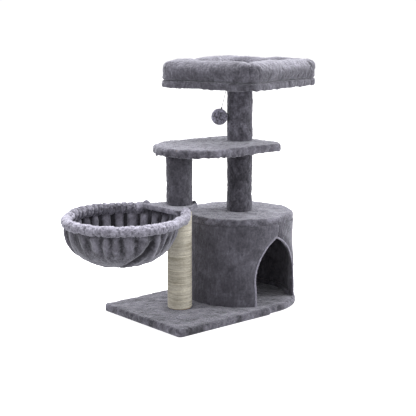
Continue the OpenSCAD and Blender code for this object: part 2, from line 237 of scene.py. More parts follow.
# ---------------------------------------------------------------- materials
class Nodes:
    def __init__(self, name):
        self.m = bpy.data.materials.new(name)
        self.m.use_nodes = True
        self.t = self.m.node_tree
        self.t.nodes.clear()
        self.out = self.t.nodes.new("ShaderNodeOutputMaterial")
        self.b = self.t.nodes.new("ShaderNodeBsdfPrincipled")
        self.t.links.new(self.b.outputs[0], self.out.inputs[0])
        self.tc = self.t.nodes.new("ShaderNodeTexCoord")

    def link(self, a, b):
        self.t.links.new(a, b)

    def mapping(self, scale=(1, 1, 1), rot=(0, 0, 0), src=None):
        n = self.t.nodes.new("ShaderNodeMapping")
        n.inputs["Scale"].default_value = scale
        n.inputs["Rotation"].default_value = rot
        self.link(src or self.tc.outputs["Object"], n.inputs["Vector"])
        return n.outputs["Vector"]

    def noise(self, scale, detail=3.0, rough=0.5, dist=0.0, vec=None):
        n = self.t.nodes.new("ShaderNodeTexNoise")
        n.inputs["Scale"].default_value = scale
        n.inputs["Detail"].default_value = detail
        n.inputs["Roughness"].default_value = rough
        n.inputs["Distortion"].default_value = dist
        self.link(vec or self.tc.outputs["Object"], n.inputs["Vector"])
        return n.outputs["Fac"]

    def ramp(self, fac, stops):
        n = self.t.nodes.new("ShaderNodeValToRGB")
        e = n.color_ramp.elements
        while len(e) > 1:
            e.remove(e[-1])
        e[0].position, e[0].color = stops[0][0], (*stops[0][1], 1)
        for p, c in stops[1:]:
            x = e.new(p)
            x.color = (*c, 1)
        self.link(fac, n.inputs["Fac"])
        return n.outputs["Color"]

    def mix(self, fac, a, b, mode="MIX"):
        n = self.t.nodes.new("ShaderNodeMix")
        n.data_type = "RGBA"
        n.blend_type = mode
        for s, v in ((n.inputs[0], fac), (n.inputs[6], a), (n.inputs[7], b)):
            if isinstance(v, (int, float)):
                s.default_value = v
            elif isinstance(v, tuple):
                s.default_value = (*v, 1) if len(v) == 3 else v
            else:
                self.link(v, s)
        return n.outputs[2]

    def math(self, op, a, b=None):
        n = self.t.nodes.new("ShaderNodeMath")
        n.operation = op
        for s, v in ((n.inputs[0], a), (n.inputs[1], b)):
            if v is None:
                continue
            if isinstance(v, (int, float)):
                s.default_value = v
            else:
                self.link(v, s)
        return n.outputs[0]

    def bump(self, height, strength, distance, prev=None):
        n = self.t.nodes.new("ShaderNodeBump")
        n.inputs["Strength"].default_value = strength
        n.inputs["Distance"].default_value = distance
        self.link(height, n.inputs["Height"])
        if prev is not None:
            self.link(prev, n.inputs["Normal"])
        return n.outputs["Normal"]

    def done(self, color=None, normal=None, rough=None, **sockets):
        if color is not None:
            self.link(color, self.b.inputs["Base Color"])
        if normal is not None:
            self.link(normal, self.b.inputs["Normal"])
        if rough is not None:
            if isinstance(rough, (int, float)):
                self.b.inputs["Roughness"].default_value = rough
            else:
                self.link(rough, self.b.inputs["Roughness"])
        for k, v in sockets.items():
            self.b.inputs[k.replace("_", " ")].default_value = v
        return self.m

def grey(x):
    return (x, x, x)

def plush(name, col, patch=30, streak=(1, 1, 1), sheen=0.75, mottle=0.26, tint=(0.86, 0.86, 0.95), lo=0.50, hi=1.50):
    """brushed plush: soft patches where the nap leans, streaks, fine pile, and a per-point attribute that scales the
    colour: clumps that follow the surface, plus the painted shade and painted highlights that the parts set
    """
    n = Nodes(name)
    big = n.noise(patch, 4, 0.6, 0.9)
    warm = (1.0, 0.985, 1.0)
    c1 = n.ramp(big, [(0.34, tuple(c * (1 - mottle) * w for c, w in zip(col, warm))), (0.50, col), (0.64, tuple(c * (1 + mottle * 1.15) for c in col))])
    # the point attribute read here scales the colour; besides the fur's clumps it carries painted shade and painted
    # highlights set part by part
    at = n.t.nodes.new("ShaderNodeAttribute")
    at.attribute_type = "GEOMETRY"
    at.attribute_name = "nap"
    half = n.math("MULTIPLY_ADD", at.outputs["Fac"], 0.5)
    n.t.nodes[-1].inputs[2].default_value = 0.5
    c2 = n.ramp(half, [(0.05, grey(lo)), (0.36, grey(0.5 * lo + 0.58)), (0.60, grey(1.08)), (0.95, grey(hi))])
    col_ = n.mix(1.0, c1, c2, "MULTIPLY")
    st = n.noise(150, 3, 0.62, 0.5, n.mapping(streak))
    col_ = n.mix(1.0, col_, n.ramp(st, [(0.30, grey(0.76)), (0.52, grey(1.0)), (0.72, grey(1.26))]), "MULTIPLY")
    fine = n.noise(620, 2, 0.6)
    col_ = n.mix(1.0, col_, n.ramp(fine, [(0.28, grey(0.80)), (0.72, grey(1.20))]), "MULTIPLY")
    nr = n.bump(st, 0.6, 0.0024)
    nr = n.bump(fine, 0.6, 0.0012, nr)
    return n.done(col_, nr, 0.92, Sheen_Weight=sheen, Sheen_Roughness=0.45, Sheen_Tint=(*tint, 1), Specular_IOR_Level=0.12)

BASE = (0.094, 0.0905, 0.109)
def shade(k):
    return tuple(c * k for c in BASE)
M_PLUSH = plush("grey_plush", shade(0.98), patch=34, mottle=0.46, lo=0.42, hi=1.6)
# a darker copy of the grey plush for the posts, 0.86 against 0.98: painted shade under the perch and platform
M_POST_PAINTED_SHADE = plush("post_painted_shade_plush", shade(0.86), patch=34, streak=(1.2, 1.2, 0.4), mottle=0.30)
# a lighter copy of the post plush, 1.35 against 0.86: painted light on the right upper post
M_POST_UP_PAINTED_LIGHT = plush("upper_post_painted_light_plush", shade(1.35), patch=34, streak=(1.2, 1.2, 0.4), mottle=0.30)
M_WALL = plush("condo_plush", shade(1.08), patch=20, streak=(1, 1, 0.4), mottle=0.24)
# a lighter copy of the grey plush, 1.34 against 0.98, for the condo top and the platform: painted light on faces turned
# up to the top light
M_TOP_PAINTED_LIGHT = plush("top_plush", shade(1.34), patch=30, mottle=0.42)
# a much lighter copy of the grey plush, 1.95, for the bracket cover: painted light on its upper face
M_BRACKET_PAINTED_LIGHT = plush("bracket_cover_painted_light_plush", shade(1.95), patch=40, mottle=0.35)
M_BED = plush("bed_plush", shade(1.12), patch=20, mottle=0.28)
M_POUCH = plush("basket_plush", shade(1.30), patch=22, streak=(1, 1, 0.6), mottle=0.26, lo=0.24)
M_RIM = plush("rim_plush", shade(3.0), patch=60, sheen=0.9, mottle=0.22, lo=0.46, hi=1.62)
M_LINING = plush("lining_plush", shade(1.35), sheen=0.3, streak=(1, 1, 0.3))
M_TRIM = plush("trim_fleece", shade(2.7), patch=80, mottle=0.15)
M_POM = plush("pompom_fur", shade(5.2), patch=120, mottle=0.25, lo=0.16, hi=2.1)

def sisal_mat():
    n = Nodes("sisal_rope")
    a = n.noise(11, 3, 0.6)
    c1 = n.ramp(a, [(0.3, (0.66, 0.63, 0.555)), (0.55, (0.79, 0.765, 0.69)), (0.75, (0.90, 0.88, 0.82))])
    rows = n.noise(1, 3, 0.7, 0.0, n.mapping((9.0, 9.0, 210.0)))
    col = n.mix(1.0, c1, n.ramp(rows, [(0.34, (0.66, 0.63, 0.56)), (0.52, (1.0, 1.0, 1.0)), (0.68, (1.20, 1.20, 1.18))]), "MULTIPLY")
    b = n.noise(70, 4, 0.65, 0.3, n.mapping((2.0, 2.0, 6.0)))
    col = n.mix(1.0, col, n.ramp(b, [(0.3, (0.78, 0.75, 0.68)), (0.55, (1.0, 1.0, 1.0)), (0.72, (1.14, 1.14, 1.12))]), "MULTIPLY")
    fine = n.noise(700, 3, 0.7, 0.0, n.mapping((1, 1, 3)))
    col = n.mix(0.5, col, n.ramp(fine, [(0.3, (0.62, 0.58, 0.50)), (0.7, (1.2, 1.18, 1.1))]), "MULTIPLY")
    return n.done(col, n.bump(fine, 0.5, 0.0008), 0.85, Sheen_Weight=0.15, Specular_IOR_Level=0.2)

def wood_mat(name, a, b):
    n = Nodes(name)
    g = n.noise(14, 4, 0.6, 1.2, n.mapping((1, 9, 9)))
    chips = n.noise(260, 2, 0.6)
    col = n.mix(0.35, n.ramp(g, [(0.35, a), (0.65, b)]), n.ramp(chips, [(0.35, tuple(x * 0.7 for x in a)), (0.65, tuple(min(1, x * 1.25) for x in b))]))
    return n.done(col, n.bump(chips, 0.3, 0.0005), 0.75)

def card_mat():
    n = Nodes("cardboard")
    g = n.noise(40, 3, 0.6, 0.2, n.mapping((1, 1, 6)))
    f = n.noise(800, 2, 0.6)
    col = n.mix(0.3, n.ramp(g, [(0.35, (0.36, 0.25, 0.15)), (0.65, (0.46, 0.33, 0.20))]), n.ramp(f, [(0.3, (0.30, 0.21, 0.13)), (0.7, (0.52, 0.38, 0.25))]))
    return n.done(col, n.bump(f, 0.2, 0.0003), 0.9)

def steel_mat(name, col, rough, metallic=1.0):
    n = Nodes(name)
    g = n.noise(420, 3, 0.6, 0, n.mapping((1, 1, 0.2)))
    c = n.ramp(g, [(0.3, tuple(x * 0.85 for x in col)), (0.7, tuple(min(1, x * 1.12) for x in col))])
    r = n.math("MULTIPLY_ADD", g, 0.2)
    n.t.nodes[-1].inputs[2].default_value = rough - 0.1
    return n.done(c, n.bump(g, 0.08, 0.0002), r, Metallic=metallic)

def cloth_mat(name, a, b):
    n = Nodes(name)
    w = n.noise(500, 2, 0.7)
    return n.done(n.ramp(w, [(0.35, a), (0.65, b)]), n.bump(w, 0.4, 0.0006), 0.9)

M_SISAL = sisal_mat()
M_BOARD = wood_mat("particle_board", (0.42, 0.30, 0.17), (0.60, 0.45, 0.28))
M_PINE = wood_mat("plug_wood", (0.55, 0.40, 0.24), (0.70, 0.54, 0.35))
M_CARD = card_mat()
M_STEEL = steel_mat("zinc_steel", (0.62, 0.63, 0.65), 0.35)
M_WIRE = steel_mat("ring_wire", (0.04, 0.04, 0.042), 0.45, 0.0)
M_CLOTH = cloth_mat("backing_cloth", (0.012, 0.012, 0.014), (0.03, 0.03, 0.034))
M_CORD = cloth_mat("toy_cord", (0.035, 0.035, 0.04), (0.10, 0.10, 0.11))
M_DARK = cloth_mat("dark_ferrule", (0.010, 0.010, 0.012), (0.025, 0.025, 0.028))

def dress(ob, mat):
    ob.data.materials.clear()
    ob.data.materials.append(mat)
    return ob

for n, m in {"base_board": M_BOARD, "condo_top_board": M_BOARD, "platform_board": M_BOARD, "perch_board": M_BOARD,
             "bracket_board": M_BOARD, "condo_base_hoop": M_LINING, "post_end_plugs": M_PINE, "sisal_post_tube": M_CARD,
             "left_upper_tube": M_CARD, "right_lower_tube": M_CARD, "right_upper_tube": M_CARD, "condo_wall_board": M_CARD,
             "underside_cloth": M_CLOTH, "basket_ring": M_WIRE, "pompom_knot": M_DARK}.items():
    dress(nodes[n], m)
for n in ("post_threaded_inserts", "base_bolt", "base_bolt_washer", "condo_top_bolt", "condo_top_washer", "joint_studs",
          "board_t_nuts", "condo_hoop_screws", "ring_saddles", "saddle_screws", "toy_staple", "toy_ring"):
    dress(nodes[n], M_STEEL)

def pile(co, s, lump=1.2, nap=1.1, fine=0.6, streak=(1, 1, 1)):
    """height of a plush surface (mm): soft lumps, clumps of nap, fine pile; and how high each point stands, -1 to 1"""
    q = co * np.array(streak)
    L = fbm(co / 30.0, s, 2)
    q = q + 5.0 * np.column_stack([noise(co / 22.0, s + 31), noise(co / 22.0, s + 32), noise(co / 22.0, s + 33)])
    f = fbm(q / 9.0, s + 5, 2)
    N = 0.55 * f + 0.45 * (0.42 - 1.5 * np.abs(fbm(q / 12.0, s + 6, 2)))
    F = noise(co / 3.6, s + 9)
    return lump * L + nap * N + fine * F, np.clip(0.85 * N + 0.80 * F + 0.50 * L, -1, 1)

# writes the per-point attribute that scales the plush colour: the fur's clumps plus painted shade and painted
# highlights
def set_nap_and_painted_light(ob, v):
    at = ob.data.attributes.get("nap") or ob.data.attributes.new("nap", "FLOAT", "POINT")
    at.data.foreach_set("value", np.asarray(v, np.float32))

def stand_in(ob, mat, body, slot, *replaced):
    dress(ob, mat)
    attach(ob, body)
    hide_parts(*replaced)
    return ob

# ---------------------------------------------------------------- toy cord
def toy():
    u = Vector((math.cos(math.radians(155)), math.sin(math.radians(155)), 0))
    klo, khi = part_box("pompom_knot")
    plo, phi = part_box("toy_pompom")
    slo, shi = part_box("toy_string")
    hang = Vector((RPX, RPY, 0)) + u * 0.0475
    top = Vector((hang.x, hang.y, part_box("toy_staple")[0].z + 0.0007 - 0.0047))
    ball = (plo + phi) / 2
    axis = (ball - top).normalized()
    reach = (ball - top).length
    r = (phi.z - plo.z) / 2
    a = top + axis * 0.0018
    b = top + axis * (reach - r)                    # through the ferrule to the ball
    side = Vector((-u.y, u.x, 0))
    k1 = axis.cross(side).normalized()
    n, sides, rad = 96, 10, 0.0009
    ts = np.linspace(0, 1, n)
    path = [a.lerp(b, t) for t in ts]
    v = []
    for i, p in enumerate(path):
        tw = i * 0.42
        for k in range(sides):
            an = 2 * math.pi * k / sides
            rr = rad * (1 + 0.13 * math.cos(2 * (an - tw)))
            v.append(p + (side * math.cos(an) + k1 * math.sin(an)) * rr)
    v = np.array([list(x) for x in v]) / MM
    f = grid_faces(n, sides, False, True).tolist()
    f.append(list(range(sides))[::-1])
    f.append([(n - 1) * sides + k for k in range(sides)])
    s = make("pompom_cord", v, f)
    stand_in(s, M_CORD, "toy", "toy_cord", "toy_string")
    # eye of the same cord round the steel ring
    c0 = top
    loops = []
    m, q = 44, 10
    for i in range(m):
        t = 2 * math.pi * i / m
        cpt = c0 + side * (1.62 * MM * math.sin(t)) + Vector((0, 0, 1)) * (1.62 * MM * math.cos(t))
        out = (cpt - c0).normalized()
        for k in range(q):
            an = 2 * math.pi * k / q
            rr = 0.48 * (1 + 0.12 * math.cos(2 * (an - i * 0.6)))
            loops.append(list(cpt + (out * math.cos(an) + u * math.sin(an)) * rr * MM))
    lp = make("cord_eye", np.array(loops) / MM, grid_faces(m, q, True, True).tolist())
    stand_in(lp, M_CORD, "toy", "toy_cord", "toy_cord_eye")
    # pompom: packed tufts on a ball
    rng = np.random.default_rng(7)
    N = 6400
    i = np.arange(N) + 0.5
    ph = np.arccos(1 - 2 * i / N)
    th = math.pi * (1 + 5 ** 0.5) * i
    d = np.column_stack([np.cos(th) * np.sin(ph), np.sin(th) * np.sin(ph), np.cos(ph)])
    d += rng.normal(0, 0.012, d.shape)
    d /= np.linalg.norm(d, axis=1)[:, None]
    cb = np.array(list(ball)) / MM
    up = -np.array(list(axis))
    d = d[d @ up < 0.988]; N = len(d)
    tipdir = d + rng.normal(0, 0.20, d.shape) + 0.25 * np.column_stack([noise(d * 3 + k * 9, 70 + k) for k in range(3)])
    tipdir /= np.linalg.norm(tipdir, axis=1)[:, None]
    K = 210
    j = np.arange(K) + 0.5
    cp, ct = np.arccos(1 - 2 * j / K), math.pi * (1 + 5 ** 0.5) * j
    hub = np.column_stack([np.cos(ct) * np.sin(cp), np.sin(ct) * np.sin(cp), np.cos(cp)]) + rng.normal(0, 0.05, (K, 3))
    hub /= np.linalg.norm(hub, axis=1)[:, None]
    near = hub[np.argmax(d @ hub.T, axis=1)]
    away = np.clip(np.linalg.norm(d - near, axis=1) / 0.15, 0, 1)
    tipdir = tipdir + 1.1 * (near - d)
    tipdir /= np.linalg.norm(tipdir, axis=1)[:, None]
    base = cb + d * 21.5
    length = (7.6 - 1.5 * away ** 2 + rng.uniform(-0.7, 0.7, N)) * (1 + 0.06 * fbm(d * 2.6, 3, 2))
    a1 = np.cross(tipdir, rng.normal(0, 1, d.shape)); a1 /= np.linalg.norm(a1, axis=1)[:, None]
    a2 = np.cross(tipdir, a1)
    w = rng.uniform(0.70, 0.95, N)[:, None]
    ring = [base + w * (a1 * math.cos(t) + a2 * math.sin(t)) for t in (0, 2.094, 4.189)]
    mid = base + tipdir * (length * 0.78)[:, None]
    ring2 = [mid + w * 0.85 * (a1 * math.cos(t) + a2 * math.sin(t)) for t in (0, 2.094, 4.189)]
    tip = base + tipdir * length[:, None]
    allv = np.stack(ring + ring2 + [tip], 1).reshape(-1, 3)
    # random tone per tuft, made darker away from each clump's centre: painted shade in the gaps between clumps
    tone_and_gap_shade = np.clip(1.0 * fbm(d * 2.4, 91, 2) + rng.normal(0, 0.35, N) + 0.3 - 1.5 * away ** 2, -1.4, 1.0)
    # each tuft darker at the root and lighter at the tip: painted shade deep in the fur
    nap = (np.array([-0.5, -0.5, -0.5, 0.3, 0.3, 0.3, 0.9])[None, :] + 0.7 * tone_and_gap_shade[:, None]).ravel()
    o = np.arange(N)[:, None, None] * 7
    side3 = np.array([[0, 1, 4, 3], [1, 2, 5, 4], [2, 0, 3, 5]])
    cap3 = np.array([[3, 4, 6], [4, 5, 6], [5, 3, 6], [2, 1, 0]])
    faces = (o + side3[None]).reshape(-1, 4).tolist() + (o + cap3[None]).reshape(-1, 3).tolist()
    nu, nv = 48, 24
    core = []
    for iu in range(nu):
        for iv in range(1, nv):
            t, p = 2 * math.pi * iu / nu, math.pi * iv / nv
            core.append(cb + 23.0 * np.array([math.cos(t) * math.sin(p), math.sin(t) * math.sin(p), math.cos(p)]))
    core = np.array(core)
    k = len(allv)
    cf = (grid_faces(nu, nv - 1, True, False, flip=True) + k).tolist()
    cf.append([k + iu * (nv - 1) for iu in range(nu)])
    cf.append([k + iu * (nv - 1) + nv - 2 for iu in range(nu)][::-1])
    pom = make("pompom", np.vstack([allv, core]), faces + cf, smooth=True)
    # the core ball is made dark: painted shade inside the pompom
    set_nap_and_painted_light(pom, np.r_[np.clip(nap, -1, 1), np.full(len(core), -0.8)])
    stand_in(pom, M_POM, "toy", "pompom_fur", "toy_pompom")
    tuple(path[0])
    [tuple(p) for p in path]
toy()

# ---------------------------------------------------------------- base
def base():
    z0, z1 = zr("base_plush"); z0 /= MM; z1 /= MM
    ob = slab("base_cover", base_pts, z0, z1, 9, 5, 3.0)
    co = coords(ob)
    n = normals(ob)
    amt, nap = pile(co, 101, 1.8, 1.7, 0.8)
    # the rounded end of the cover stands out a little
    pol = np.degrees(np.arctan2(co[:, 1] - RPm[1], co[:, 0] - RPm[0]))
    side = 1 - np.abs(n[:, 2])
    amt = amt + 3.6 * side * np.exp(-((pol + 32) / 34.0) ** 2) * sstep(3, 9, co[:, 2])
    # inside the condo's footprint (closer than 172 mm) the cover is made darker: painted shade under the condo
    nap = np.clip(0.7 * nap + 2.0 * fbm(co / np.array([34, 34, 60]), 107, 3) - 0.6 * (np.hypot(co[:, 0] - RPm[0], co[:, 1]) < 172), -1, 1)
    # the hem under the board stays flat on the floor
    low = sstep(7, 1.5, co[:, 2])
    amt = amt * (1 - low)
    co = co + n * amt[:, None]
    co[:, 2] = np.maximum(co[:, 2], z0)
    # the hem is a band: inside it the cloth shows
    inset = np.minimum(np.minimum(co[:, 0] - BX0, BW / 2 - np.abs(co[:, 1])), 1e3)
    rr = BR - np.hypot(co[:, 0] - RPm[0], co[:, 1] - RPm[1])
    inset = np.where(co[:, 0] > RPm[0], rr, np.minimum(inset, np.where(co[:, 0] > BX1 - 30, np.maximum(BR - np.abs(co[:, 1]), 0), 1e3)))
    under = (co[:, 2] < z0 + 2.5) & (inset > 36)
    co[under, 2] += 4.3
    set_nap_and_painted_light(ob, nap)
    set_coords(ob, co)
    stand_in(ob, M_PLUSH, "frame", "grey_plush", "base_plush")
base()

# ---------------------------------------------------------------- posts
def sleeve(name, c, r_in, r_out, z0, z1, seed, mat, slot, node, seam_deg=70, even=1.0):
    nu = int(2 * math.pi * r_out / 2.4)
    h = z1 - z0
    nz = int(h / 2.4)
    rnd = 3.0
    prof = [(r_out - rnd * (1 - math.sin(a)), z0 + rnd * (1 - math.cos(a))) for a in np.radians(np.linspace(0, 90, 4))]
    prof += [(r_out, z) for z in np.linspace(z0 + rnd, z1 - rnd, nz)[1:-1]]
    prof += [(r_out - rnd * (1 - math.cos(a)), z1 - rnd * (1 - math.sin(a))) for a in np.radians(np.linspace(0, 90, 4))]
    prof += [(r_in, z) for z in np.linspace(z1 - 0.2, z0 + 0.2, 6)]
    prof = np.array(prof)
    th = np.linspace(0, 2 * math.pi, nu, endpoint=False)
    T, R = np.meshgrid(th, prof[:, 0], indexing="ij")
    Z = np.broadcast_to(prof[:, 1], T.shape)
    co = np.column_stack([(R * np.cos(T)).ravel(), (R * np.sin(T)).ravel(), Z.ravel()])
    outer = (R.ravel() > r_in + 1.0)
    d, nap = pile(co + [c[0], c[1], 0], seed, 1.5, 1.6, 0.9, (1.2, 1.2, 0.5))
    # the nap is brushed into slanting swathes
    slant = fbm(np.column_stack([(T.ravel() * r_out + 0.55 * Z.ravel()) / 9.0 + seed, (Z.ravel() - 0.3 * T.ravel() * r_out) / 42.0, np.zeros(T.size)]), seed + 3, 2)
    nap = even * (nap + 0.75 * slant)
    d = d + 0.8 * slant
    # sewn seam down the back
    ang = np.degrees(np.abs(np.arctan2(np.sin(T.ravel() - math.radians(seam_deg)), np.cos(T.ravel() - math.radians(seam_deg)))))
    d = d - 1.6 * np.exp(-(ang / 1.8) ** 2)
    rad = np.hypot(co[:, 0], co[:, 1])
    new = rad + np.where(outer, d, 0)
    co[:, 0] *= new / rad
    co[:, 1] *= new / rad
    co[:, 0] += c[0]
    co[:, 1] += c[1]
    ob = make(name, co, grid_faces(nu, len(prof), True, True))
    set_nap_and_painted_light(ob, np.clip(nap, -1, 1))
    stand_in(ob, mat, "frame", slot, node)

PR = (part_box("left_upper_plush")[1].x - LPX) / MM
TR = (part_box("left_upper_tube")[1].x - LPX) / MM
# the right upper sleeve takes the lighter copy of the post plush (painted light), the other two the darker copy
# (painted shade)
for nm, c, node, seed in (("left_upper_sleeve", LPm, "left_upper_plush", 201), ("right_lower_sleeve", RPm, "right_lower_plush", 301),
                          ("right_upper_sleeve", RPm, "right_upper_plush", 401)):
    z0, z1 = zr(node)
    sleeve(nm, c, TR + 0.1, PR, z0 / MM - 0.3, z1 / MM + 0.3, seed, M_POST_UP_PAINTED_LIGHT if node == "right_upper_plush" else M_POST_PAINTED_SHADE, "grey_plush", node,
           even=0.6 if node == "left_upper_plush" else 1.0)

def sisal():
    z0, z1 = zr("sisal_winding"); z0 /= MM; z1 /= MM
    ro = (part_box("sisal_winding")[1].x - LPX) / MM
    rr = (ro - TR) / 2
    pitch = 2 * rr * 1.0
    turns = (z1 - z0 - 2 * rr) / pitch
    per, sides = 128, 7
    n = int(turns * per)
    t = np.arange(n) / per * 2 * math.pi
    zc = z0 + rr + t / (2 * math.pi) * pitch
    wob = 0.22 * fbm(np.column_stack([t * 1.7, zc * 0.05, np.zeros(n)]), 5, 2)
    rc = TR + rr + 0.15 * noise(np.column_stack([t * 2.3, zc * 0.3, np.ones(n)]), 6)
    an = np.arange(sides) / sides * 2 * math.pi
    strand = 1 + 0.13 * np.cos(3 * (an[None, :] - t[:, None] * 9.6)) + 0.05 * _hash(np.arange(n)[:, None] * np.ones((1, sides), int), np.arange(sides)[None, :] * np.ones((n, 1), int), np.zeros((n, sides), int), 4)
    R = rc[:, None] + rr * strand * np.cos(an)[None, :]
    Z = (zc + wob)[:, None] + rr * 1.02 * strand * np.sin(an)[None, :]
    X = R * np.cos(t)[:, None] + LPm[0]
    Y = R * np.sin(t)[:, None] + LPm[1]
    v = np.column_stack([X.ravel(), Y.ravel(), Z.ravel()])
    f = grid_faces(n, sides, False, True, flip=True).tolist()
    f.append(list(range(sides)))
    f.append([(n - 1) * sides + k for k in range(sides)][::-1])
    ob = make("sisal_rope_winding", v, f)
    stand_in(ob, M_SISAL, "frame", "sisal_rope", "sisal_winding")
sisal()

# ---------------------------------------------------------------- condo
DHW, DTOP, AZ, DTURN = 97.0, 257.0, 100.0, 8.0
AC = ((DTOP - AZ) ** 2 - DHW ** 2) / (2 * DHW)
AR = DHW + AC

def lean_at(z):
    return -24.0 * ((z - 26.0) / 231.0) ** 2 * (z > 26)

def door_sd(x, z, g=0.0):
    """distance outside the doorway's outline grown by g, in the plane of the door (negative inside)"""
    ax = np.abs(x - lean_at(z))
    side = ax - (DHW + g)
    arch = np.hypot(ax + AC, z - AZ) - (AR + g)
    return np.where(z < AZ, side, arch)

def flare(v):
    """the cloth stands off the wall beside the doorway's right edge, most near the floor (door frame, mm)"""
    ang = np.degrees(np.arctan2(v[:, 1], v[:, 0]))
    w = sstep(-66, -58, ang) * (1 - sstep(-25, 5, ang)) * (v[:, 0] > 0)
    return w * (1.2 + 6.8 * (1 - sstep(20, 235, v[:, 2])) ** 1.3) * (1 - sstep(225, 262, v[:, 2]))

def from_door(v):
    """door frame (facing -Y) to the row frame"""
    return rot2(v, DTURN, RPm)

def wall_sheet(name, radius, thick, z0, z1, step, g, mat, slot, node, seed, amp, inward=False):
    nu = int(2 * math.pi * radius / step)
    nv = int((z1 - z0) / step)
    # the first column faces away from the doorway
    th = np.radians(90) + np.linspace(0, 2 * math.pi, nu, endpoint=False)
    zz = np.linspace(z0, z1, nv)
    T, Z = np.meshgrid(th, zz, indexing="ij")
    x = radius * np.cos(T); y = radius * np.sin(T)
    front = y < 0
    sd = np.where(front, door_sd(x, Z, g), 1e3)
    e = 0.5
    # snap near points onto the outline
    gx = (door_sd(x + e, Z, g) - door_sd(x - e, Z, g)) / (2 * e)
    gz = (door_sd(x, Z + e, g) - door_sd(x, Z - e, g)) / (2 * e)
    slope = np.maximum(np.abs(y) / radius, 0.3)          # columns are closer in x towards the sides
    near = front & (np.abs(sd) < 0.62 * step * slope)
    xs = np.where(near, x - sd * gx, x)
    Zs = np.where(near & (Z > z0 + 0.1), Z - sd * gz, Z)
    xs = np.clip(xs, -radius, radius)
    ys = np.where(near, -np.sqrt(np.maximum(radius ** 2 - xs ** 2, 0)), y)
    sd2 = np.where(front, door_sd(xs, Zs, g), 1e3).ravel()
    v = np.column_stack([xs.ravel(), ys.ravel(), Zs.ravel()])
    f = grid_faces(nu, nv, True, False)
    ok = (sd2[f] > -0.05).all(1)
    f = f[ok]
    used = np.unique(f)
    remap = -np.ones(len(v), int); remap[used] = np.arange(len(used))
    v, f = v[used], remap[f]
    # thickness: a second layer, joined round every open edge
    rad = np.hypot(v[:, 0], v[:, 1])
    nrm = np.column_stack([v[:, 0] / rad, v[:, 1] / rad, np.zeros(len(v))])
    world = from_door(v)
    d, nap = pile(world, seed, 1.5, 1.1, 0.6, (1, 1, 0.7))
    d = d * amp
    nap = 0.5 * nap + 0.18 * noise(world / np.array([2.8, 2.8, 26.0]), seed + 17) + 0.35 * fbm(world / np.array([46, 46, 70]), seed + 18, 2)
    vx, vz = v[:, 0], v[:, 2]
    dsd = np.where(v[:, 1] < 0, door_sd(vx, vz, g), 1e3)
    if not inward:
        # the cloth is pulled up to a fold above the point of the arch; the raised side of the fold gets a painted
        # highlight and the dip beside it painted shade
        above = (v[:, 1] < 0) * sstep(DTOP - 22, DTOP + 4, vz) * (1 - sstep(DTOP + 36, DTOP + 48, vz))
        line = -24.0 + 0.10 * (vz - DTOP)
        lx = line - vx
        fold = np.where(lx > 0, np.exp(-(lx / 20.0) ** 2) * sstep(0, 3.0, lx), 0)
        d = d + above * (6.0 * fold - 2.0 * np.where(lx <= 0, np.exp(-(lx / 14.0) ** 2), 0))
        nap = nap + above * (1.3 * np.where(lx > 0, np.exp(-(lx / 9.0) ** 2), 0) - 1.3 * np.where(lx <= 0, np.exp(-(lx / 8.0) ** 2), 0))
        # stitched lines beside the arch, right of the point
        right = (v[:, 1] < 0) * sstep(-20, -6, vx) * (dsd < 40)
        for off in (6.5, 13.0):
            g1 = np.exp(-((dsd - off) / 1.7) ** 2) * right
            d = d - 1.3 * g1
            nap = nap - 0.55 * g1
        # cloth bulges a little round the doorway and is drawn in at its edge
        d = d + 2.2 * (v[:, 1] < 0) * np.exp(-((dsd - 22) / 16.0) ** 2) * sstep(60, 150, vz)
        d = d + flare(v) + 1.8 * (v[:, 1] < 60) * sstep(z1 - 26, z1 - 6, vz) - 1.2 * sstep(z1 - 3, z1, vz)
        # the band just under the condo top is made darker: painted shade under the top's edge; a strip beside the
        # doorway's left edge is made lighter
        nap = nap - 0.5 * sstep(z1 - 5, z1, vz) + 0.35 * (v[:, 1] < 0) * np.exp(-((dsd - 4) / 9.0) ** 2) * (vx < 0)
    edge = sstep(0, 9, np.minimum(dsd, np.minimum(v[:, 2] - z0, z1 - v[:, 2]) + 2))
    outer = v + nrm * ((-1 if inward else 1) * (d * (0.35 + 0.65 * edge) - 1.2 * (1 - edge)))[:, None]
    inner = v - nrm * ((-1 if inward else 1) * thick)
    n = len(v)
    V = from_door(np.vstack([outer, inner]))
    und = np.sort(np.vstack([f[:, [0, 1]], f[:, [1, 2]], f[:, [2, 3]], f[:, [3, 0]]]), 1)
    dirn = np.vstack([f[:, [0, 1]], f[:, [1, 2]], f[:, [2, 3]], f[:, [3, 0]]])
    key = und[:, 0].astype(np.int64) * n + und[:, 1]
    _, idx, cnt = np.unique(key, return_index=True, return_counts=True)
    b = dirn[idx[cnt == 1]]
    rim = np.column_stack([b[:, 1], b[:, 0], b[:, 0] + n, b[:, 1] + n])
    F = np.vstack([f, f[:, ::-1] + n, rim])
    if inward:
        F = F[:, ::-1]
    ob = make(name, V, F)
    set_nap_and_painted_light(ob, np.clip(np.r_[nap, np.full(n, -0.3)], -1, 1))
    stand_in(ob, mat, "frame", slot, node)
    return ob

wlo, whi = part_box("condo_wall_plush")
CR = (whi.x - RPX) / MM
cz0, cz1 = wlo.z / MM, whi.z / MM
blo2, bhi2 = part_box("condo_wall_board")
WRO = (bhi2.x - RPX) / MM
wall_sheet("condo_wall_cover", CR, CR - WRO - 0.05, cz0, cz1 + 2.0, 2.5, 3.2, M_WALL, "grey_plush", "condo_wall_plush", 501, 1.0)
llo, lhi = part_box("condo_lining")
LRO = (lhi.x - RPX) / MM
wall_sheet("condo_inner_cover", LRO - 3.2, 3.1, llo.z / MM, lhi.z / MM, 4.0, 3.2, M_LINING, "lining_plush", "condo_lining", 551, 0.7, inward=True)

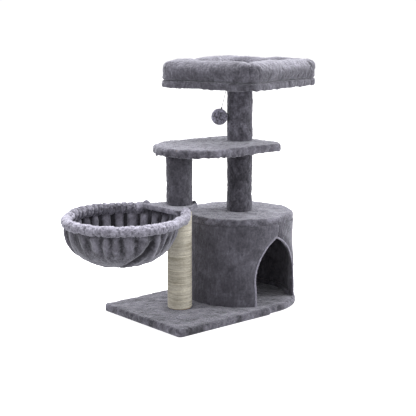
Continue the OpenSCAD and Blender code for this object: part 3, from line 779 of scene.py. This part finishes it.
def condo_top():
    z0, z1 = zr("condo_top_plush"); z0 /= MM; z1 /= MM
    r = (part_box("condo_top_plush")[1].x - RPX) / MM
    rings = []
    prof = [(r - 5.5, z0 + 0.5), (r - 2.2, z0 + 1.0)] + [(r - 14 + 13 * math.cos(a), z1 - 13 + 13 * math.sin(a)) for a in np.radians([-26, -12, 0, 12, 24, 36, 48, 60, 75, 90])]
    prof += [(q, z1) for q in np.arange(r - 17, 3, -3.0)]
    prof = np.array(prof)
    nu = int(2 * math.pi * r / 2.6)
    th = np.linspace(0, 2 * math.pi, nu, endpoint=False)
    T, R = np.meshgrid(th, prof[:, 0], indexing="ij")
    Z = np.broadcast_to(prof[:, 1], T.shape)
    co = np.column_stack([(R * np.cos(T)).ravel() + RPm[0], (R * np.sin(T)).ravel() + RPm[1], Z.ravel()])
    under = [(r - 5.7, z1 - 4.2), (3, z1 - 4.2)]
    np_, nr = len(prof), nu
    ob = make("tmp", co, grid_faces(nu, np_, True, False, flip=False).tolist() + [[i * np_ + np_ - 1 for i in range(nu)]])
    n = normals(ob)
    d, nap = pile(co, 601, 2.0, 1.8, 0.9)
    d = np.maximum(d, -0.8)
    nap = np.clip(0.7 * nap + 1.0 * fbm(co / np.array([50, 50, 60]), 607, 3), -1, 1)
    lowest = np.tile(np.arange(np_) < 1, nu)
    drop = 1.8 * fbm(np.column_stack([np.cos(T).ravel() * 5, np.sin(T).ravel() * 5, np.zeros(T.size)]), 605, 2)
    co = co + np.column_stack([np.zeros(len(co)), np.zeros(len(co)), drop * sstep(z1 - 8, z0, co[:, 2])])
    co2 = co + n * np.where(lowest, 0, d)[:, None]
    bpy.data.objects.remove(ob)
    # close the skin underneath, against the board
    ring_a = np.column_stack([(r - 5.7) * np.cos(th) + RPm[0], (r - 5.7) * np.sin(th) + RPm[1], np.full(nu, z1 - 4.1)])
    k = len(co2)
    V = np.vstack([co2, ring_a])
    F = grid_faces(nu, np_, True, False, flip=False).tolist() + [[i * np_ + np_ - 1 for i in range(nu)]]
    for i in range(nu):
        j = (i + 1) % nu
        F.append([j * np_, i * np_, k + i, k + j])
    F.append([k + i for i in range(nu)][::-1])
    ob = make("condo_top_cover", V, F)
    # the lowest rings, round the lid's lower edge, are made darker: painted shade under the rolled edge
    set_nap_and_painted_light(ob, np.r_[nap - 0.35 * np.tile(prof[:, 1] < z0 + 5, nu), np.zeros(nu)])
    stand_in(ob, M_TOP_PAINTED_LIGHT, "frame", "grey_plush", "condo_top_plush")
condo_top()

def trim():
    # fleece strip wrapped over the doorway's edge: pale outside, lining cloth inside; on the right jamb the lining
    # cloth reaches further round the roll, as painted shade
    pts = [(DHW + 2.4, z) for z in np.linspace(cz0 + 1.5, AZ, 30)]
    apex = math.degrees(math.acos(AC / AR))
    for a in np.linspace(0, apex, 50)[1:]:
        z = AZ + (AR + 2.4) * math.sin(math.radians(a))
        pts.append((-AC + (AR + 2.4) * math.cos(math.radians(a)), z))
    right = np.array(pts)
    left = right[::-1].copy()[1:] * [-1, 1]
    path = np.vstack([right, left])
    path[:, 0] += lean_at(path[:, 1])
    # even steps
    seg = np.r_[0, np.cumsum(np.linalg.norm(np.diff(path, axis=0), axis=1))]
    m = int(seg[-1] / 2.0)
    s = np.linspace(0, seg[-1], m)
    path = np.column_stack([np.interp(s, seg, path[:, 0]), np.interp(s, seg, path[:, 1])])
    tan = np.gradient(path, axis=0); tan /= np.linalg.norm(tan, axis=1)[:, None]
    out = np.column_stack([tan[:, 1], -tan[:, 0]])      # away from the opening
    k = 22
    an = np.linspace(0, 2 * math.pi, k, endpoint=False)
    r_out = CR + 1.4
    V, N = [], []
    foot = 1 - sstep(cz0, cz0 + 60, path[:, 1])
    for i in range(m):
        fl = float(flare(np.array([[path[i][0] + 5, -150.0, path[i][1]]]))[0]) if path[i][0] > 40 else 0.0
        ro = r_out + 0.85 * fl
        r_in = LRO - 4.6 + 3.4 * sstep(30, 70, path[i][0])
        rc, hr = (ro + r_in) / 2, (ro - r_in) / 2
        for a in an:
            cr, ct = math.cos(a), math.sin(a)
            rad = rc + hr * np.sign(cr) * abs(cr) ** 0.62
            wid = (2.4 + (3.2 + 3.0 * foot[i]) * max(0, cr) ** 2) if ct > 0 else 2.2
            off = wid * np.sign(ct) * abs(ct) ** 0.8
            x, z = path[i] + out[i] * off
            y = -math.sqrt(max(rad * rad - x * x, 0))
            V.append((x, y, z))
            # per-point shading of the roll: lighter on its outer crest, darker towards the inner side and on the side
            # lying back against the wall: painted highlight and painted shade
            N.append(0.5 - 0.8 * max(0, ct) + 0.3 * cr - 0.9 * (1 - sstep(0.1, 0.8, cr)))
    V = from_door(np.array(V))
    F = grid_faces(m, k, False, True).tolist() + [list(range(k))[::-1], [(m - 1) * k + i for i in range(k)]]
    ob = make("doorway_piping", V, F)
    h, nap = pile(coords(ob), 620, 0.8, 1.2, 0.9)
    push(ob, 0.9 * h)
    set_nap_and_painted_light(ob, np.clip(nap * 0.8 + np.array(N), -1, 1))
    co = coords(ob); co[:, 2] = np.maximum(co[:, 2], cz0 + 0.2); set_coords(ob, co)
    stand_in(ob, M_TRIM, "frame", "trim_fleece", "doorway_trim")
    ob.data.materials.append(M_LINING)
    idx = np.zeros(len(ob.data.polygons), np.int32)
    for q in range((m - 1) * k):
        # on the right jamb the lining cloth covers more of the roll: painted shade on the jamb turned away from the
        # light
        cut = 0.45 if path[q // k][0] > 40 else 0.0
        if math.cos(an[q % k]) < cut and math.cos(an[(q + 1) % k]) < cut:
            idx[q] = 1
    ob.data.polygons.foreach_set("material_index", idx)
trim()

# ---------------------------------------------------------------- platform and perch board
def platform():
    z0, z1 = zr("platform_plush"); z0 /= MM; z1 /= MM
    ob = slab("platform_cover", mid_pts, z0, z1, 10, 7, 2.8)
    co = coords(ob); n = normals(ob)
    side = 1 - np.abs(n[:, 2])
    low = sstep(z1 - 8, z0 + 4, co[:, 2])
    amt, nap = pile(co, 701, 2.0, 1.8, 0.9)
    nap = 0.7 * nap + 1.0 * fbm(co / np.array([48, 48, 60]), 707, 3)
    bits = fbm(co / 15.0, 705, 2)
    amt = amt + low * 4.4 * (bits + 0.15) * (0.35 + 0.65 * side)
    inset = np.minimum(MX1 - co[:, 0], MW / 2 - np.where(co[:, 0] < MC, np.hypot(co[:, 0] - MC, co[:, 1]), np.abs(co[:, 1])))
    co = co + n * amt[:, None]
    co[:, 2] -= low * np.exp(-(inset / 16.0) ** 2) * (1.8 + 4.5 * np.clip(bits, -0.2, 1))
    # the lower part of the side faces is made darker: painted shade towards the underside
    set_nap_and_painted_light(ob, np.clip(nap - 0.25 * low * side, -1, 1))
    set_coords(ob, co)
    stand_in(ob, M_TOP_PAINTED_LIGHT, "frame", "grey_plush", "platform_plush")
platform()

plo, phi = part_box("perch_plush")
PL, PW, TURN = 438.0, 376.0, 14.0
def on_perch(v):
    return rot2(v, TURN, RPm)

def perch():
    z0, z1 = zr("perch_plush"); z0 /= MM; z1 /= MM
    ob = slab("perch_cover", lambda d: round_rect(PL, PW, 46, d), z0, z1, 4, 8, 2.8, on_perch)
    co = coords(ob); n = normals(ob)
    amt, nap = pile(co, 801, 1.7, 1.6, 0.8)
    side = 1 - np.abs(n[:, 2])
    bits = fbm(co / 16.0, 807, 2)
    amt = amt + side * (1.4 + 2.6 * fbm(co / 38.0, 805, 2) + 1.6 * bits)
    amt -= 1.0 * sstep(z1 - 3, z1, co[:, 2])
    q = rot2(co - [RPm[0], RPm[1], 0], -TURN)
    inset = np.minimum(PL / 2 - np.abs(q[:, 0]), PW / 2 - np.abs(q[:, 1]))
    low = sstep(z1 - 8, z0 + 4, co[:, 2])
    co = co + n * amt[:, None]
    co[:, 2] -= low * np.exp(-(inset / 18.0) ** 2) * (4.2 + 3.0 * bits)
    # a band along the top edge is made darker: painted shadow under the bed's rim
    set_nap_and_painted_light(ob, np.clip(nap - 0.8 * sstep(z1 - 6, z1 - 1, co[:, 2]), -1, 1))
    set_coords(ob, co)
    stand_in(ob, M_BED, "frame", "grey_plush", "perch_plush")
perch()

# ---------------------------------------------------------------- bed: stuffed rim and pad
def stuff(ob, voxel, pressure, cap, keep_below, frames=16):
    """swell a soft form with cloth and pressure; no point moves more than cap (mm) or below keep_below (mm)"""
    remesh(ob, voxel, 1)
    sc = bpy.context.scene
    start = coords(ob)
    m = ob.modifiers.new("c", "CLOTH")
    st = m.settings
    st.quality = 4
    st.mass = 0.25
    st.tension_stiffness = st.compression_stiffness = 12
    st.shear_stiffness = 6
    st.bending_stiffness = 0.35
    st.use_pressure = True
    st.uniform_pressure_force = pressure
    st.effector_weights.gravity = 0
    m.collision_settings.use_self_collision = False
    m.point_cache.frame_start, m.point_cache.frame_end = 1, frames
    for k in range(1, frames + 1):
        sc.frame_set(k)
    apply_mods(ob)
    sc.frame_set(1)
    now = coords(ob)
    mv = now - start
    far = np.linalg.norm(mv, axis=1)
    now = start + mv * np.minimum(1, cap / np.maximum(far, 1e-6))[:, None]
    now[:, 2] = np.maximum(now[:, 2], keep_below)
    set_coords(ob, now)
    sub = ob.modifiers.new("s", "SUBSURF")
    sub.levels = sub.render_levels = 1
    apply_mods(ob)
    ob.data.shade_smooth()
    return ob

def bed():
    z0, z1 = zr("bed_bolster"); z0 /= MM; z1 /= MM
    h = z1 - z0
    w = 66.0
    g = dense(lambda d: round_rect(PL, PW, 46, d), 2.6)
    nv = 64
    a = np.linspace(0, 2 * math.pi, nv, endpoint=False)
    c, s_ = np.cos(a), np.sin(a)
    ex = np.where(s_ > 0, 2 / 3.3, np.where(c > 0, 2 / 8.0, 2 / 3.0))      # fuller at the foot of the outside
    dd = 0.2 + (w - 2.7) / 2 - (w - 2.7) / 2 * np.sign(c) * np.abs(c) ** ex
    zz = z0 + h / 2 - 0.5 + (h - 1) / 2 * np.sign(s_) * np.abs(s_) ** ex
    rings = [g(max(x, 0.0)) for x in dd]
    nu = len(rings[0])
    V = np.zeros((nu, nv, 3))
    for k in range(nv):
        V[:, k, 0] = rings[k][:, 0]
        V[:, k, 1] = rings[k][:, 1]
        V[:, k, 2] = zz[k]
    # stuffing is uneven: swells and slack places round the ring, corners drawn in
    P = g(0.0)
    cd = np.minimum.reduce([np.hypot(P[:, 0] - sx * (PL / 2 - 20), P[:, 1] - sy * (PW / 2 - 20)) for sx in (-1, 1) for sy in (-1, 1)])
    dip = np.exp(-(cd / 40.0) ** 2)
    hh = (V[:, :, 2] - z0) / h
    V[:, :, 2] -= dip[:, None] * hh * 2.0
    # the two seams at the far corner push the roll up there
    far = np.exp(-(np.hypot(P[:, 0] - (PL / 2 - 40), P[:, 1] - (PW / 2 - 40)) / 60.0) ** 2) + 0.5 * np.exp(-(np.hypot(P[:, 0] + (PL / 2 - 34), P[:, 1] - (PW / 2 - 60)) / 45.0) ** 2)
    V[:, :, 2] += (far * 5.0)[:, None] * np.clip(hh, 0, 1) ** 2
    wave = fbm(np.column_stack([P[:, 0] / 62, P[:, 1] / 62, np.zeros(nu)]), 31, 2)
    V[:, :, 2] += (wave * 4.5)[:, None] * np.clip(hh, 0, 1) ** 2
    co = on_perch(V.reshape(-1, 3))
    ob = make("bed_rim", co, grid_faces(nu, nv, True, True, flip=True))
    stuff(ob, 5.0, 3.0, 6.0, z0)
    co = coords(ob); n = normals(ob)
    hz = (co[:, 2] - z0) / h
    q = rot2(co - [RPm[0], RPm[1], 0], -TURN)
    amt, nap = pile(co, 901, 1.7, 0.85, 0.9)
    nap = 0.75 * nap + 0.5 * fbm(co / np.array([40, 40, 30]), 903, 2)
    # creases that run across the roll, strongest near the corners
    ang = np.arctan2(q[:, 1] / PW, q[:, 0] / PL)
    along = np.column_stack([np.cos(ang) * 9, np.sin(ang) * 9, hz * 0.9])
    cre = fbm(along, 907, 2)
    cdist = np.min([np.hypot(q[:, 0] - sx * (PL / 2 - 33), q[:, 1] - sy * (PW / 2 - 33)) for sx in (-1, 1) for sy in (-1, 1)], axis=0)
    cw = 0.12 + 0.80 * np.exp(-(cdist / 52.0) ** 2)
    amt = amt + 3.0 * fbm(co / np.array([58, 58, 34]), 905, 2) - 3.2 * cw * np.exp(-(cre / 0.10) ** 2) + 1.0
    amt = amt * sstep(-0.02, 0.14, hz) - 1.0 + 4.0 * (1 - sstep(0.03, 0.24, hz))
    # the creases are made darker: painted shade in the folds
    nap = np.clip(nap - 0.45 * cw * np.exp(-(cre / 0.08) ** 2), -1, 1)
    out = co + n * amt[:, None]
    out[:, 2] = np.maximum(out[:, 2], z0)
    set_coords(ob, out)
    set_nap_and_painted_light(ob, nap)
    stand_in(ob, M_BED, "bed", "bed_plush", "bed_bolster")
    # pad
    pz0, pz1 = zr("bed_pad"); pz0 /= MM; pz1 /= MM
    ob = slab("bed_seat_pad", lambda d: round_rect(PL - 2 * w + 4, PW - 2 * w + 4, 8, d), pz0, pz1 + 1, 6, 4, 5.0, on_perch)
    stuff(ob, 5.0, 2.0, 7.0, pz0)
    co = coords(ob); n = normals(ob)
    q = rot2(co - [RPm[0], RPm[1], 0], -TURN)
    up = sstep(pz0 + 1, pz0 + 6, co[:, 2])
    cross = np.minimum(np.abs(q[:, 0]), 1e3)
    h_, nap = pile(co, 931, 1.6, 1.2, 0.6)
    out = co + n * (h_ * up)[:, None]
    out[:, 2] = np.maximum(out[:, 2], pz0)
    set_coords(ob, out)
    set_nap_and_painted_light(ob, nap)
    stand_in(ob, M_BED, "bed", "bed_plush", "bed_pad")
bed()

# ---------------------------------------------------------------- basket
RDIR, RR, ROFF, SAG = 182.0, 182.0, 235.0, 0.3
rl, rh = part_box("bracket_plush")
BZ = rl.z / MM
RZ = BZ - 3.5
NEAR = ROFF - RR

def bracket_frame(v):
    return rot2(v, RDIR, LPm)

def sagged(v):
    """ring frame (x away from the post, z up from the wire) to the row frame"""
    v = np.array(v, float)
    x, z = v[:, 0] - NEAR, v[:, 2]
    a = math.radians(SAG)
    v[:, 0] = x * math.cos(a) + z * math.sin(a) + NEAR
    v[:, 2] = -x * math.sin(a) + z * math.cos(a) + RZ
    return rot2(v, RDIR, LPm)

def bracket_pts(d):
    f, b, w, vv, q = 82 - d, -58 + d, 97 - d, 32 - d, max(16 - d, 6)
    return (arc((f - q, w - q), q, 0, 66, 6) + arc((b + 2 * q, vv - 0.6 * q), 1.6 * q, 112, 180, 8)
            + arc((b + 2 * q, -vv + 0.6 * q), 1.6 * q, 180, 248, 8) + arc((f - q, -w + q), q, -66, 0, 6))

def bracket():
    z0, z1 = zr("bracket_plush"); z0 /= MM; z1 /= MM
    ob = slab("bracket_cover", bracket_pts, z0, z1, 3, 4, 2.2, bracket_frame)
    co = coords(ob); n = normals(ob)
    post = np.hypot(co[:, 0] - LPm[0], co[:, 1] - LPm[1])
    free = sstep(PR, PR + 8, post)
    h, nap = pile(co, 1001, 1.5, 1.6, 0.9)
    co = co + n * (free * np.maximum(h + 0.8, 0.1))[:, None]
    # a corner of the cloth stands up behind the post
    tab = bracket_frame(np.array([[-47.0, 22.0, 0.0]]))[0]
    near = np.exp(-(np.hypot(co[:, 0] - tab[0], co[:, 1] - tab[1]) / 11.0) ** 2)
    co[:, 2] += 10.0 * near * sstep(PR - 1, PR + 6, post)
    set_nap_and_painted_light(ob, np.clip(nap - 0.9 * near, -1, 1))
    set_coords(ob, co)
    stand_in(ob, M_BRACKET_PAINTED_LIGHT, "basket", "grey_plush", "bracket_plush")
bracket()

def spline(pts, n):
    """smooth curve through points, even in length"""
    p = np.array(pts, float)
    e = np.vstack([2 * p[0] - p[1], p, 2 * p[-1] - p[-2]])
    out = []
    for i in range(1, len(e) - 2):
        t = np.linspace(0, 1, 24, endpoint=False)[:, None]
        a, b, c, d = e[i - 1], e[i], e[i + 1], e[i + 2]
        out.append(0.5 * ((2 * b) + (-a + c) * t + (2 * a - 5 * b + 4 * c - d) * t ** 2 + (-a + 3 * b - 3 * c + d) * t ** 3))
    out = np.vstack(out + [p[-1:]])
    s = np.r_[0, np.cumsum(np.linalg.norm(np.diff(out, axis=0), axis=1))]
    q = np.linspace(0, s[-1], n)
    return np.column_stack([np.interp(q, s, out[:, k]) for k in range(out.shape[1])])

def pleats(th, count, seed, jitter=0.38):
    """uneven pleats round the bowl: position across a pleat (0 to 1), its number and its own random figure"""
    rng = np.random.default_rng(seed)
    w = 1 + rng.uniform(-jitter, jitter, count)
    edges = np.r_[0, np.cumsum(w)] / w.sum() * 2 * math.pi
    t = np.mod(th, 2 * math.pi)
    k = np.clip(np.searchsorted(edges, t, side="right") - 1, 0, count - 1)
    return (t - edges[k]) / (edges[k + 1] - edges[k]), k, rng.uniform(0, 1, count)[k], (edges[k + 1] - edges[k])

def pouch():
    prof = spline([(178, 3), (180, -10), (181, -26), (177.5, -54), (167, -82), (147, -107), (114, -127), (66, -142), (27, -149.5), (0, -151.5)], 84)
    prof = prof[:-1]
    nu, ns = 600, 83
    th = np.linspace(0, 2 * math.pi, nu, endpoint=False)
    s = np.linspace(0, 1, ns)
    tg = np.gradient(prof, axis=0); tg /= np.linalg.norm(tg, axis=1)[:, None]
    no = np.column_stack([np.abs(tg[:, 1]), -np.abs(tg[:, 0])])
    no[:3] = [1, 0]
    T, S = np.meshgrid(th, s, indexing="ij")
    def n3(scale_t, scale_s, off, seed, oct_=2):
        return fbm(np.column_stack([(np.cos(T) * scale_t).ravel(), (np.sin(T) * scale_t).ravel(), (S * scale_s + off).ravel()]), seed, oct_).reshape(T.shape)
    # inside: wide rounded lobes with gaps between them; the gaps are darkened as painted shade
    wob = 0.055 * n3(6, 5, 0, 41) * (0.2 + S)
    u1, k1, r1, w1 = pleats(T + wob, 29, 11)
    gap = 0.10 + 0.10 * r1
    x = np.clip((np.abs(u1 - 0.5) - 0.0) / (0.5 - gap), 0, 1)
    lobe = np.sqrt(np.clip(1 - x ** 2.6, 0, 1))
    top1 = sstep(0.035, 0.10 + 0.03 * r1, S)
    fade1 = 1 - sstep(0.42 + 0.15 * r1, 0.90, S)
    A = lobe * top1 * fade1
    # outside: soft folds under the rim that die out down the bowl
    wob2 = 0.10 * n3(5, 3, 3, 43) * (0.15 + S)
    u2, k2, r2, w2 = pleats(T + wob2, 27, 23)
    x2 = np.abs(u2 - 0.5) * 2
    fold = np.cos(np.clip(x2 / (0.85 + 0.15 * r2), 0, 1) * math.pi / 2) ** 2
    reach = 0.16 + 0.26 * r2
    F = fold * (1 - sstep(reach * 0.35, reach + 0.14, S)) * (0.55 + 0.6 * r2)
    sag = n3(2.2, 2.2, 0, 45, 3)
    ruck = n3(9, 9, 5, 47, 2)
    # a long slack fold runs down across the front, and a shorter one beside it
    def crease(a0, slope, s0, s1, wid):
        d = np.degrees(np.angle(np.exp(1j * (T - np.radians(a0 + slope * S)))))
        return np.exp(-(d / wid) ** 2) * sstep(s0, s0 + 0.08, S) * (1 - sstep(s1 - 0.18, s1, S)), d
    c1, d1 = crease(92, -62, 0.10, 0.78, 3.2)
    c2, d2 = crease(112, -40, 0.10, 0.46, 3.0)
    c3, d3 = crease(68, 26, 0.08, 0.40, 3.0)
    lip = lambda c, d, wid: np.exp(-((d - wid * 2.0) / (wid * 1.5)) ** 2) * (c.max() > 0)
    soft = sstep(0.04, 0.14, S)
    out = 8.5 * (F - 0.25) * soft + 4.0 * sag * sstep(0.05, 0.4, S) + 1.6 * ruck * soft
    m1 = sstep(0.10, 0.18, S) * (1 - sstep(0.60, 0.78, S))
    out = out - 6.0 * c1 - 4.0 * c2 - 3.5 * c3 + 3.5 * np.exp(-((d1 - 6.5) / 5.0) ** 2) * m1
    inn = 12.5 * A + 2.5 * sag * sstep(0.1, 0.5, S) + 1.2 * ruck
    base_t = 4.0
    # the bowl hangs unevenly: drawn in below the bracket side, full at the far side, lowest off centre
    adiff = lambda a0: np.degrees(np.angle(np.exp(1j * (T - math.radians(a0)))))
    pull = -13.0 * np.exp(-(adiff(130) / 44.0) ** 2) * (S / 0.25) * np.exp(1 - S / 0.25) + 6.5 * np.exp(-(adiff(-42) / 55.0) ** 2) * np.exp(-(S / 0.40) ** 2)
    pull = pull * sstep(0, 0.06, S) * np.clip(prof[None, :, 0] / 60.0, 0, 1)
    def surf(off):
        r = np.maximum(prof[None, :, 0] + pull + no[None, :, 0] * off, 0.6)
        z = prof[None, :, 1] + no[None, :, 1] * off
        return np.stack([ROFF + r * np.cos(T) + 13.0 * S ** 1.6 * math.cos(math.radians(-40)), r * np.sin(T) + 13.0 * S ** 1.6 * math.sin(math.radians(-40)), z], -1)
    low = np.exp(-((np.degrees(np.angle(np.exp(1j * (T - math.radians(20)))))) / 70.0) ** 2)
    out = out + 3.0 * low * sstep(0.55, 0.95, S)
    gap_depth = 3.5 * (1 - lobe) * top1 * fade1          # the gaps sit back, into the outer folds
    O = surf(out)
    I = surf(np.minimum(-base_t - inn + np.minimum(out, 2.0) * 0.5 + gap_depth, out - 3.0))
    V = sagged(np.vstack([O.reshape(-1, 3), I.reshape(-1, 3)]))
    k = nu * ns
    Fc = np.vstack([grid_faces(nu, ns, True, False, flip=True), grid_faces(nu, ns, True, False) + k]).tolist()
    for i in range(nu):
        j = (i + 1) % nu
        Fc.append([i * ns, j * ns, k + j * ns, k + i * ns][::-1])
    Fc.append([i * ns + ns - 1 for i in range(nu)][::-1])
    Fc.append([k + i * ns + ns - 1 for i in range(nu)])
    ob = make("basket_pouch_cloth", V, Fc)
    h, nap = pile(coords(ob), 1101, 1.0, 1.0, 0.6, (1, 1, 0.8))
    # outside: fold ridges and swells made lighter; fold valleys, the creases and the band just under the rim made
    # darker: painted highlight and painted shade
    outer_painted_light = (1.7 * (F - 0.42) * soft * (1 - sstep(0.22, 0.5, S)) - 0.35 * (1 - sstep(0.05, 0.2, S)) - 0.9 * c1 - 0.7 * c2 - 0.6 * c3 + 0.5 * sag).ravel()
    # inside: gaps between the lobes and the band under the rim made darker, lobe tops lighter: painted shade and
    # painted highlight
    inner_painted_light = (-1.5 * (1 - lobe) * top1 * fade1 + 0.80 * A + 0.30 * fade1 - 0.8 * (1 - top1)).ravel()
    push(ob, 0.8 * h)
    set_nap_and_painted_light(ob, np.clip(0.7 * nap + np.r_[outer_painted_light, inner_painted_light], -1, 1))
    stand_in(ob, M_POUCH, "basket", "basket_plush", "basket_pouch")
    me = ob.data
    area = sum(p.area for p in me.polygons) / 2
    print("pouch area per layer", round(area, 4))
    return ob
pouch_ob = pouch()

def rim():
    # path of the sleeve round the ring; its ends turn in over the corners of the bracket
    al = np.radians(np.linspace(-146, 126, 72))
    ring = np.column_stack([ROFF + RR * np.cos(al), RR * np.sin(al), np.zeros(len(al))])
    front = np.array([[104, 138, 0.5], [80, 121, 2.5], [65, 108, 8], [55, 94, 13], [50, 82, 17]])
    back = np.array([[74, -102, 1], [60, -96, 4], [49, -90, 6]])[::-1]
    path = spline(np.vstack([back, ring, front]), 640)
    m = len(path)
    tan = np.gradient(path, axis=0); tan /= np.linalg.norm(tan, axis=1)[:, None]
    side = np.column_stack([tan[:, 1], -tan[:, 0], np.zeros(m)]); side /= np.linalg.norm(side, axis=1)[:, None]
    k = 56
    an = np.linspace(0, 2 * math.pi, k, endpoint=False)
    slen = np.r_[0, np.cumsum(np.linalg.norm(np.diff(path, axis=0), axis=1))]
    Tt, An = np.meshgrid(slen, an, indexing="ij")
    L = slen[-1]
    e0, e1 = Tt / 15.0, (L - Tt) / 17.0
    taper = np.sqrt(np.clip(e0, 0, 1) * (2 - np.clip(e0, 0, 1))) * np.sqrt(np.clip(e1, 0, 1) * (2 - np.clip(e1, 0, 1)))
    back_w = 1 - sstep(0.26 * L, 0.36 * L, Tt)            # the far half of the ring
    # scallops: the gathered sleeve bunches into short rolls
    rng = np.random.default_rng(5)
    cuts = np.cumsum(rng.uniform(17, 33, 80)); cuts = np.r_[0, cuts[cuts < L], L]
    kk = np.clip(np.searchsorted(cuts, Tt + 3.0 * np.sin(An), side="right") - 1, 0, len(cuts) - 2)
    uu = (Tt + 3.0 * np.sin(An) - cuts[kk]) / (cuts[kk + 1] - cuts[kk])
    roll = np.sqrt(np.clip(1 - np.abs(2 * uu - 1) ** 2.4, 0, 1))
    def tn(ls, ws, seed, oct_=2):
        return fbm(np.column_stack([(Tt / ls).ravel(), (np.cos(An) * ws).ravel(), (np.sin(An) * ws).ravel()]), seed, oct_).reshape(Tt.shape)
    gat = 0.45 - 1.9 * np.abs(tn(9.5, 1.3, 51))
    gat2 = 0.40 - 1.7 * np.abs(tn(6.0, 2.6, 53))
    big = tn(24, 0.8, 57)
    fine = tn(2.6, 5.0, 61, 1)
    off = (1.6 + 5.0 * back_w) * (roll - 0.62) + 2.6 * gat + 1.4 * gat2 + 2.4 * big + 0.7 * fine
    # a loose hem hangs below the roll where the pouch is sewn on
    hem = np.clip(-np.sin(An), 0, 1) ** 3 * (1.4 + 2.6 * tn(11, 0.6, 63))
    W = (15.4 + off) * np.cos(An) * taper
    H = ((14.9 + 2.2 * back_w + off) * np.sin(An) - hem) * taper - 0.8 + 4.6 * back_w
    V = path[:, None, :] + side[:, None, :] * W[..., None] + np.array([0, 0, 1.0]) * H[..., None]
    F = grid_faces(m, k, False, True).tolist() + [list(range(k))[::-1], [(m - 1) * k + i for i in range(k)]]
    ob = make("basket_rim_band", sagged(V.reshape(-1, 3)), F)
    # the raised gathers and scallops are made lighter and the hollows between them darker (painted highlight and
    # painted shade); the far half and the underside of the roll are made darker (painted shade) and the top of the near
    # half lighter (painted highlight)
    nap = 0.75 * gat + 0.55 * gat2 + 0.4 * fine + (0.4 + 1.7 * back_w) * (roll - 0.8) + 0.3 * big - 0.95 * back_w - 0.3 * np.clip(-np.sin(An), 0, 1) + 0.12 * (1 - back_w) * np.clip(np.sin(An), 0, 1)
    set_nap_and_painted_light(ob, np.clip(nap.ravel(), -1, 1))
    stand_in(ob, M_RIM, "basket", "rim_plush", "basket_rim_sleeve")
    return ob
rim_ob = rim()

# ---------------------------------------------------------------- studio
def studio():
    sc = bpy.context.scene
    sc.view_settings.view_transform = "Standard"
    sc.view_settings.look = "None"
    sc.view_settings.exposure = 0.0
    sc.view_settings.gamma = 1.0
    w = bpy.data.worlds.new("studio")
    sc.world = w
    w.use_nodes = True
    w.node_tree.nodes["Background"].inputs[0].default_value = (1.0, 1.0, 1.02, 1)
    w.node_tree.nodes["Background"].inputs[1].default_value = 0.66
    me = bpy.data.meshes.new("floor")
    n = 96
    vs = [(13.5 * math.cos(2 * math.pi * i / n), 13.5 * math.sin(2 * math.pi * i / n), -0.0006) for i in range(n)]
    me.from_pydata(vs, [], [list(range(n))])
    fl = bpy.data.objects.new("floor", me)
    sc.collection.objects.link(fl)
    nm = Nodes("floor")
    f = nm.noise(3, 2)
    nm.b.inputs["Emission Color"].default_value = (1, 1, 1, 1)
    nm.b.inputs["Emission Strength"].default_value = 0.80
    nm.done(nm.ramp(f, [(0.3, (0.86, 0.86, 0.86)), (0.7, (0.9, 0.9, 0.9))]), None, 0.7)
    me.materials.append(nm.m)
    fl.visible_diffuse = False
    # far white backdrop, seen by the camera only
    bpy.ops.mesh.primitive_uv_sphere_add(segments=48, ring_count=24, radius=14)
    dome = bpy.context.object
    dome.name = "backdrop"
    dm = bpy.data.materials.new("backdrop")
    dm.use_nodes = True
    dm.node_tree.nodes.clear()
    o = dm.node_tree.nodes.new("ShaderNodeOutputMaterial")
    e = dm.node_tree.nodes.new("ShaderNodeEmission")
    e.inputs[0].default_value = (1, 1, 1, 1)
    e.inputs[1].default_value = 1.05
    dm.node_tree.links.new(e.outputs[0], o.inputs[0])
    dome.data.materials.append(dm)
    dome.visible_diffuse = False
    dome.visible_glossy = False
    dome.visible_transmission = False
    dome.visible_shadow = False
    dome.visible_volume_scatter = False

    def area(name, loc, target, size, power, color=(1, 1, 1)):
        ld = bpy.data.lights.new(name, "AREA")
        ld.shape = "RECTANGLE"
        ld.size, ld.size_y = size
        ld.energy = power
        ld.color = color
        ob = bpy.data.objects.new(name, ld)
        sc.collection.objects.link(ob)
        ob.location = loc
        ob.rotation_mode = "QUATERNION"
        ob.rotation_quaternion = (Vector(target) - Vector(loc)).to_track_quat("-Z", "Y")
        ob.visible_camera = False
        return ob
    area("top_softbox", (0.35, 0.25, 3.0), (0.0, 0.0, 0.2), (2.0, 2.0), 140)
    area("right_softbox", (2.5, -2.0, 1.5), (0.0, 0, 0.42), (1.2, 1.9), 58)
    area("right_rear", (2.5, 1.7, 1.5), (0.0, 0, 0.45), (0.9, 1.7), 40)
    area("front_left", (-2.6, -0.9, 1.8), (0, 0, 0.35), (1.6, 1.6), 20)
studio()
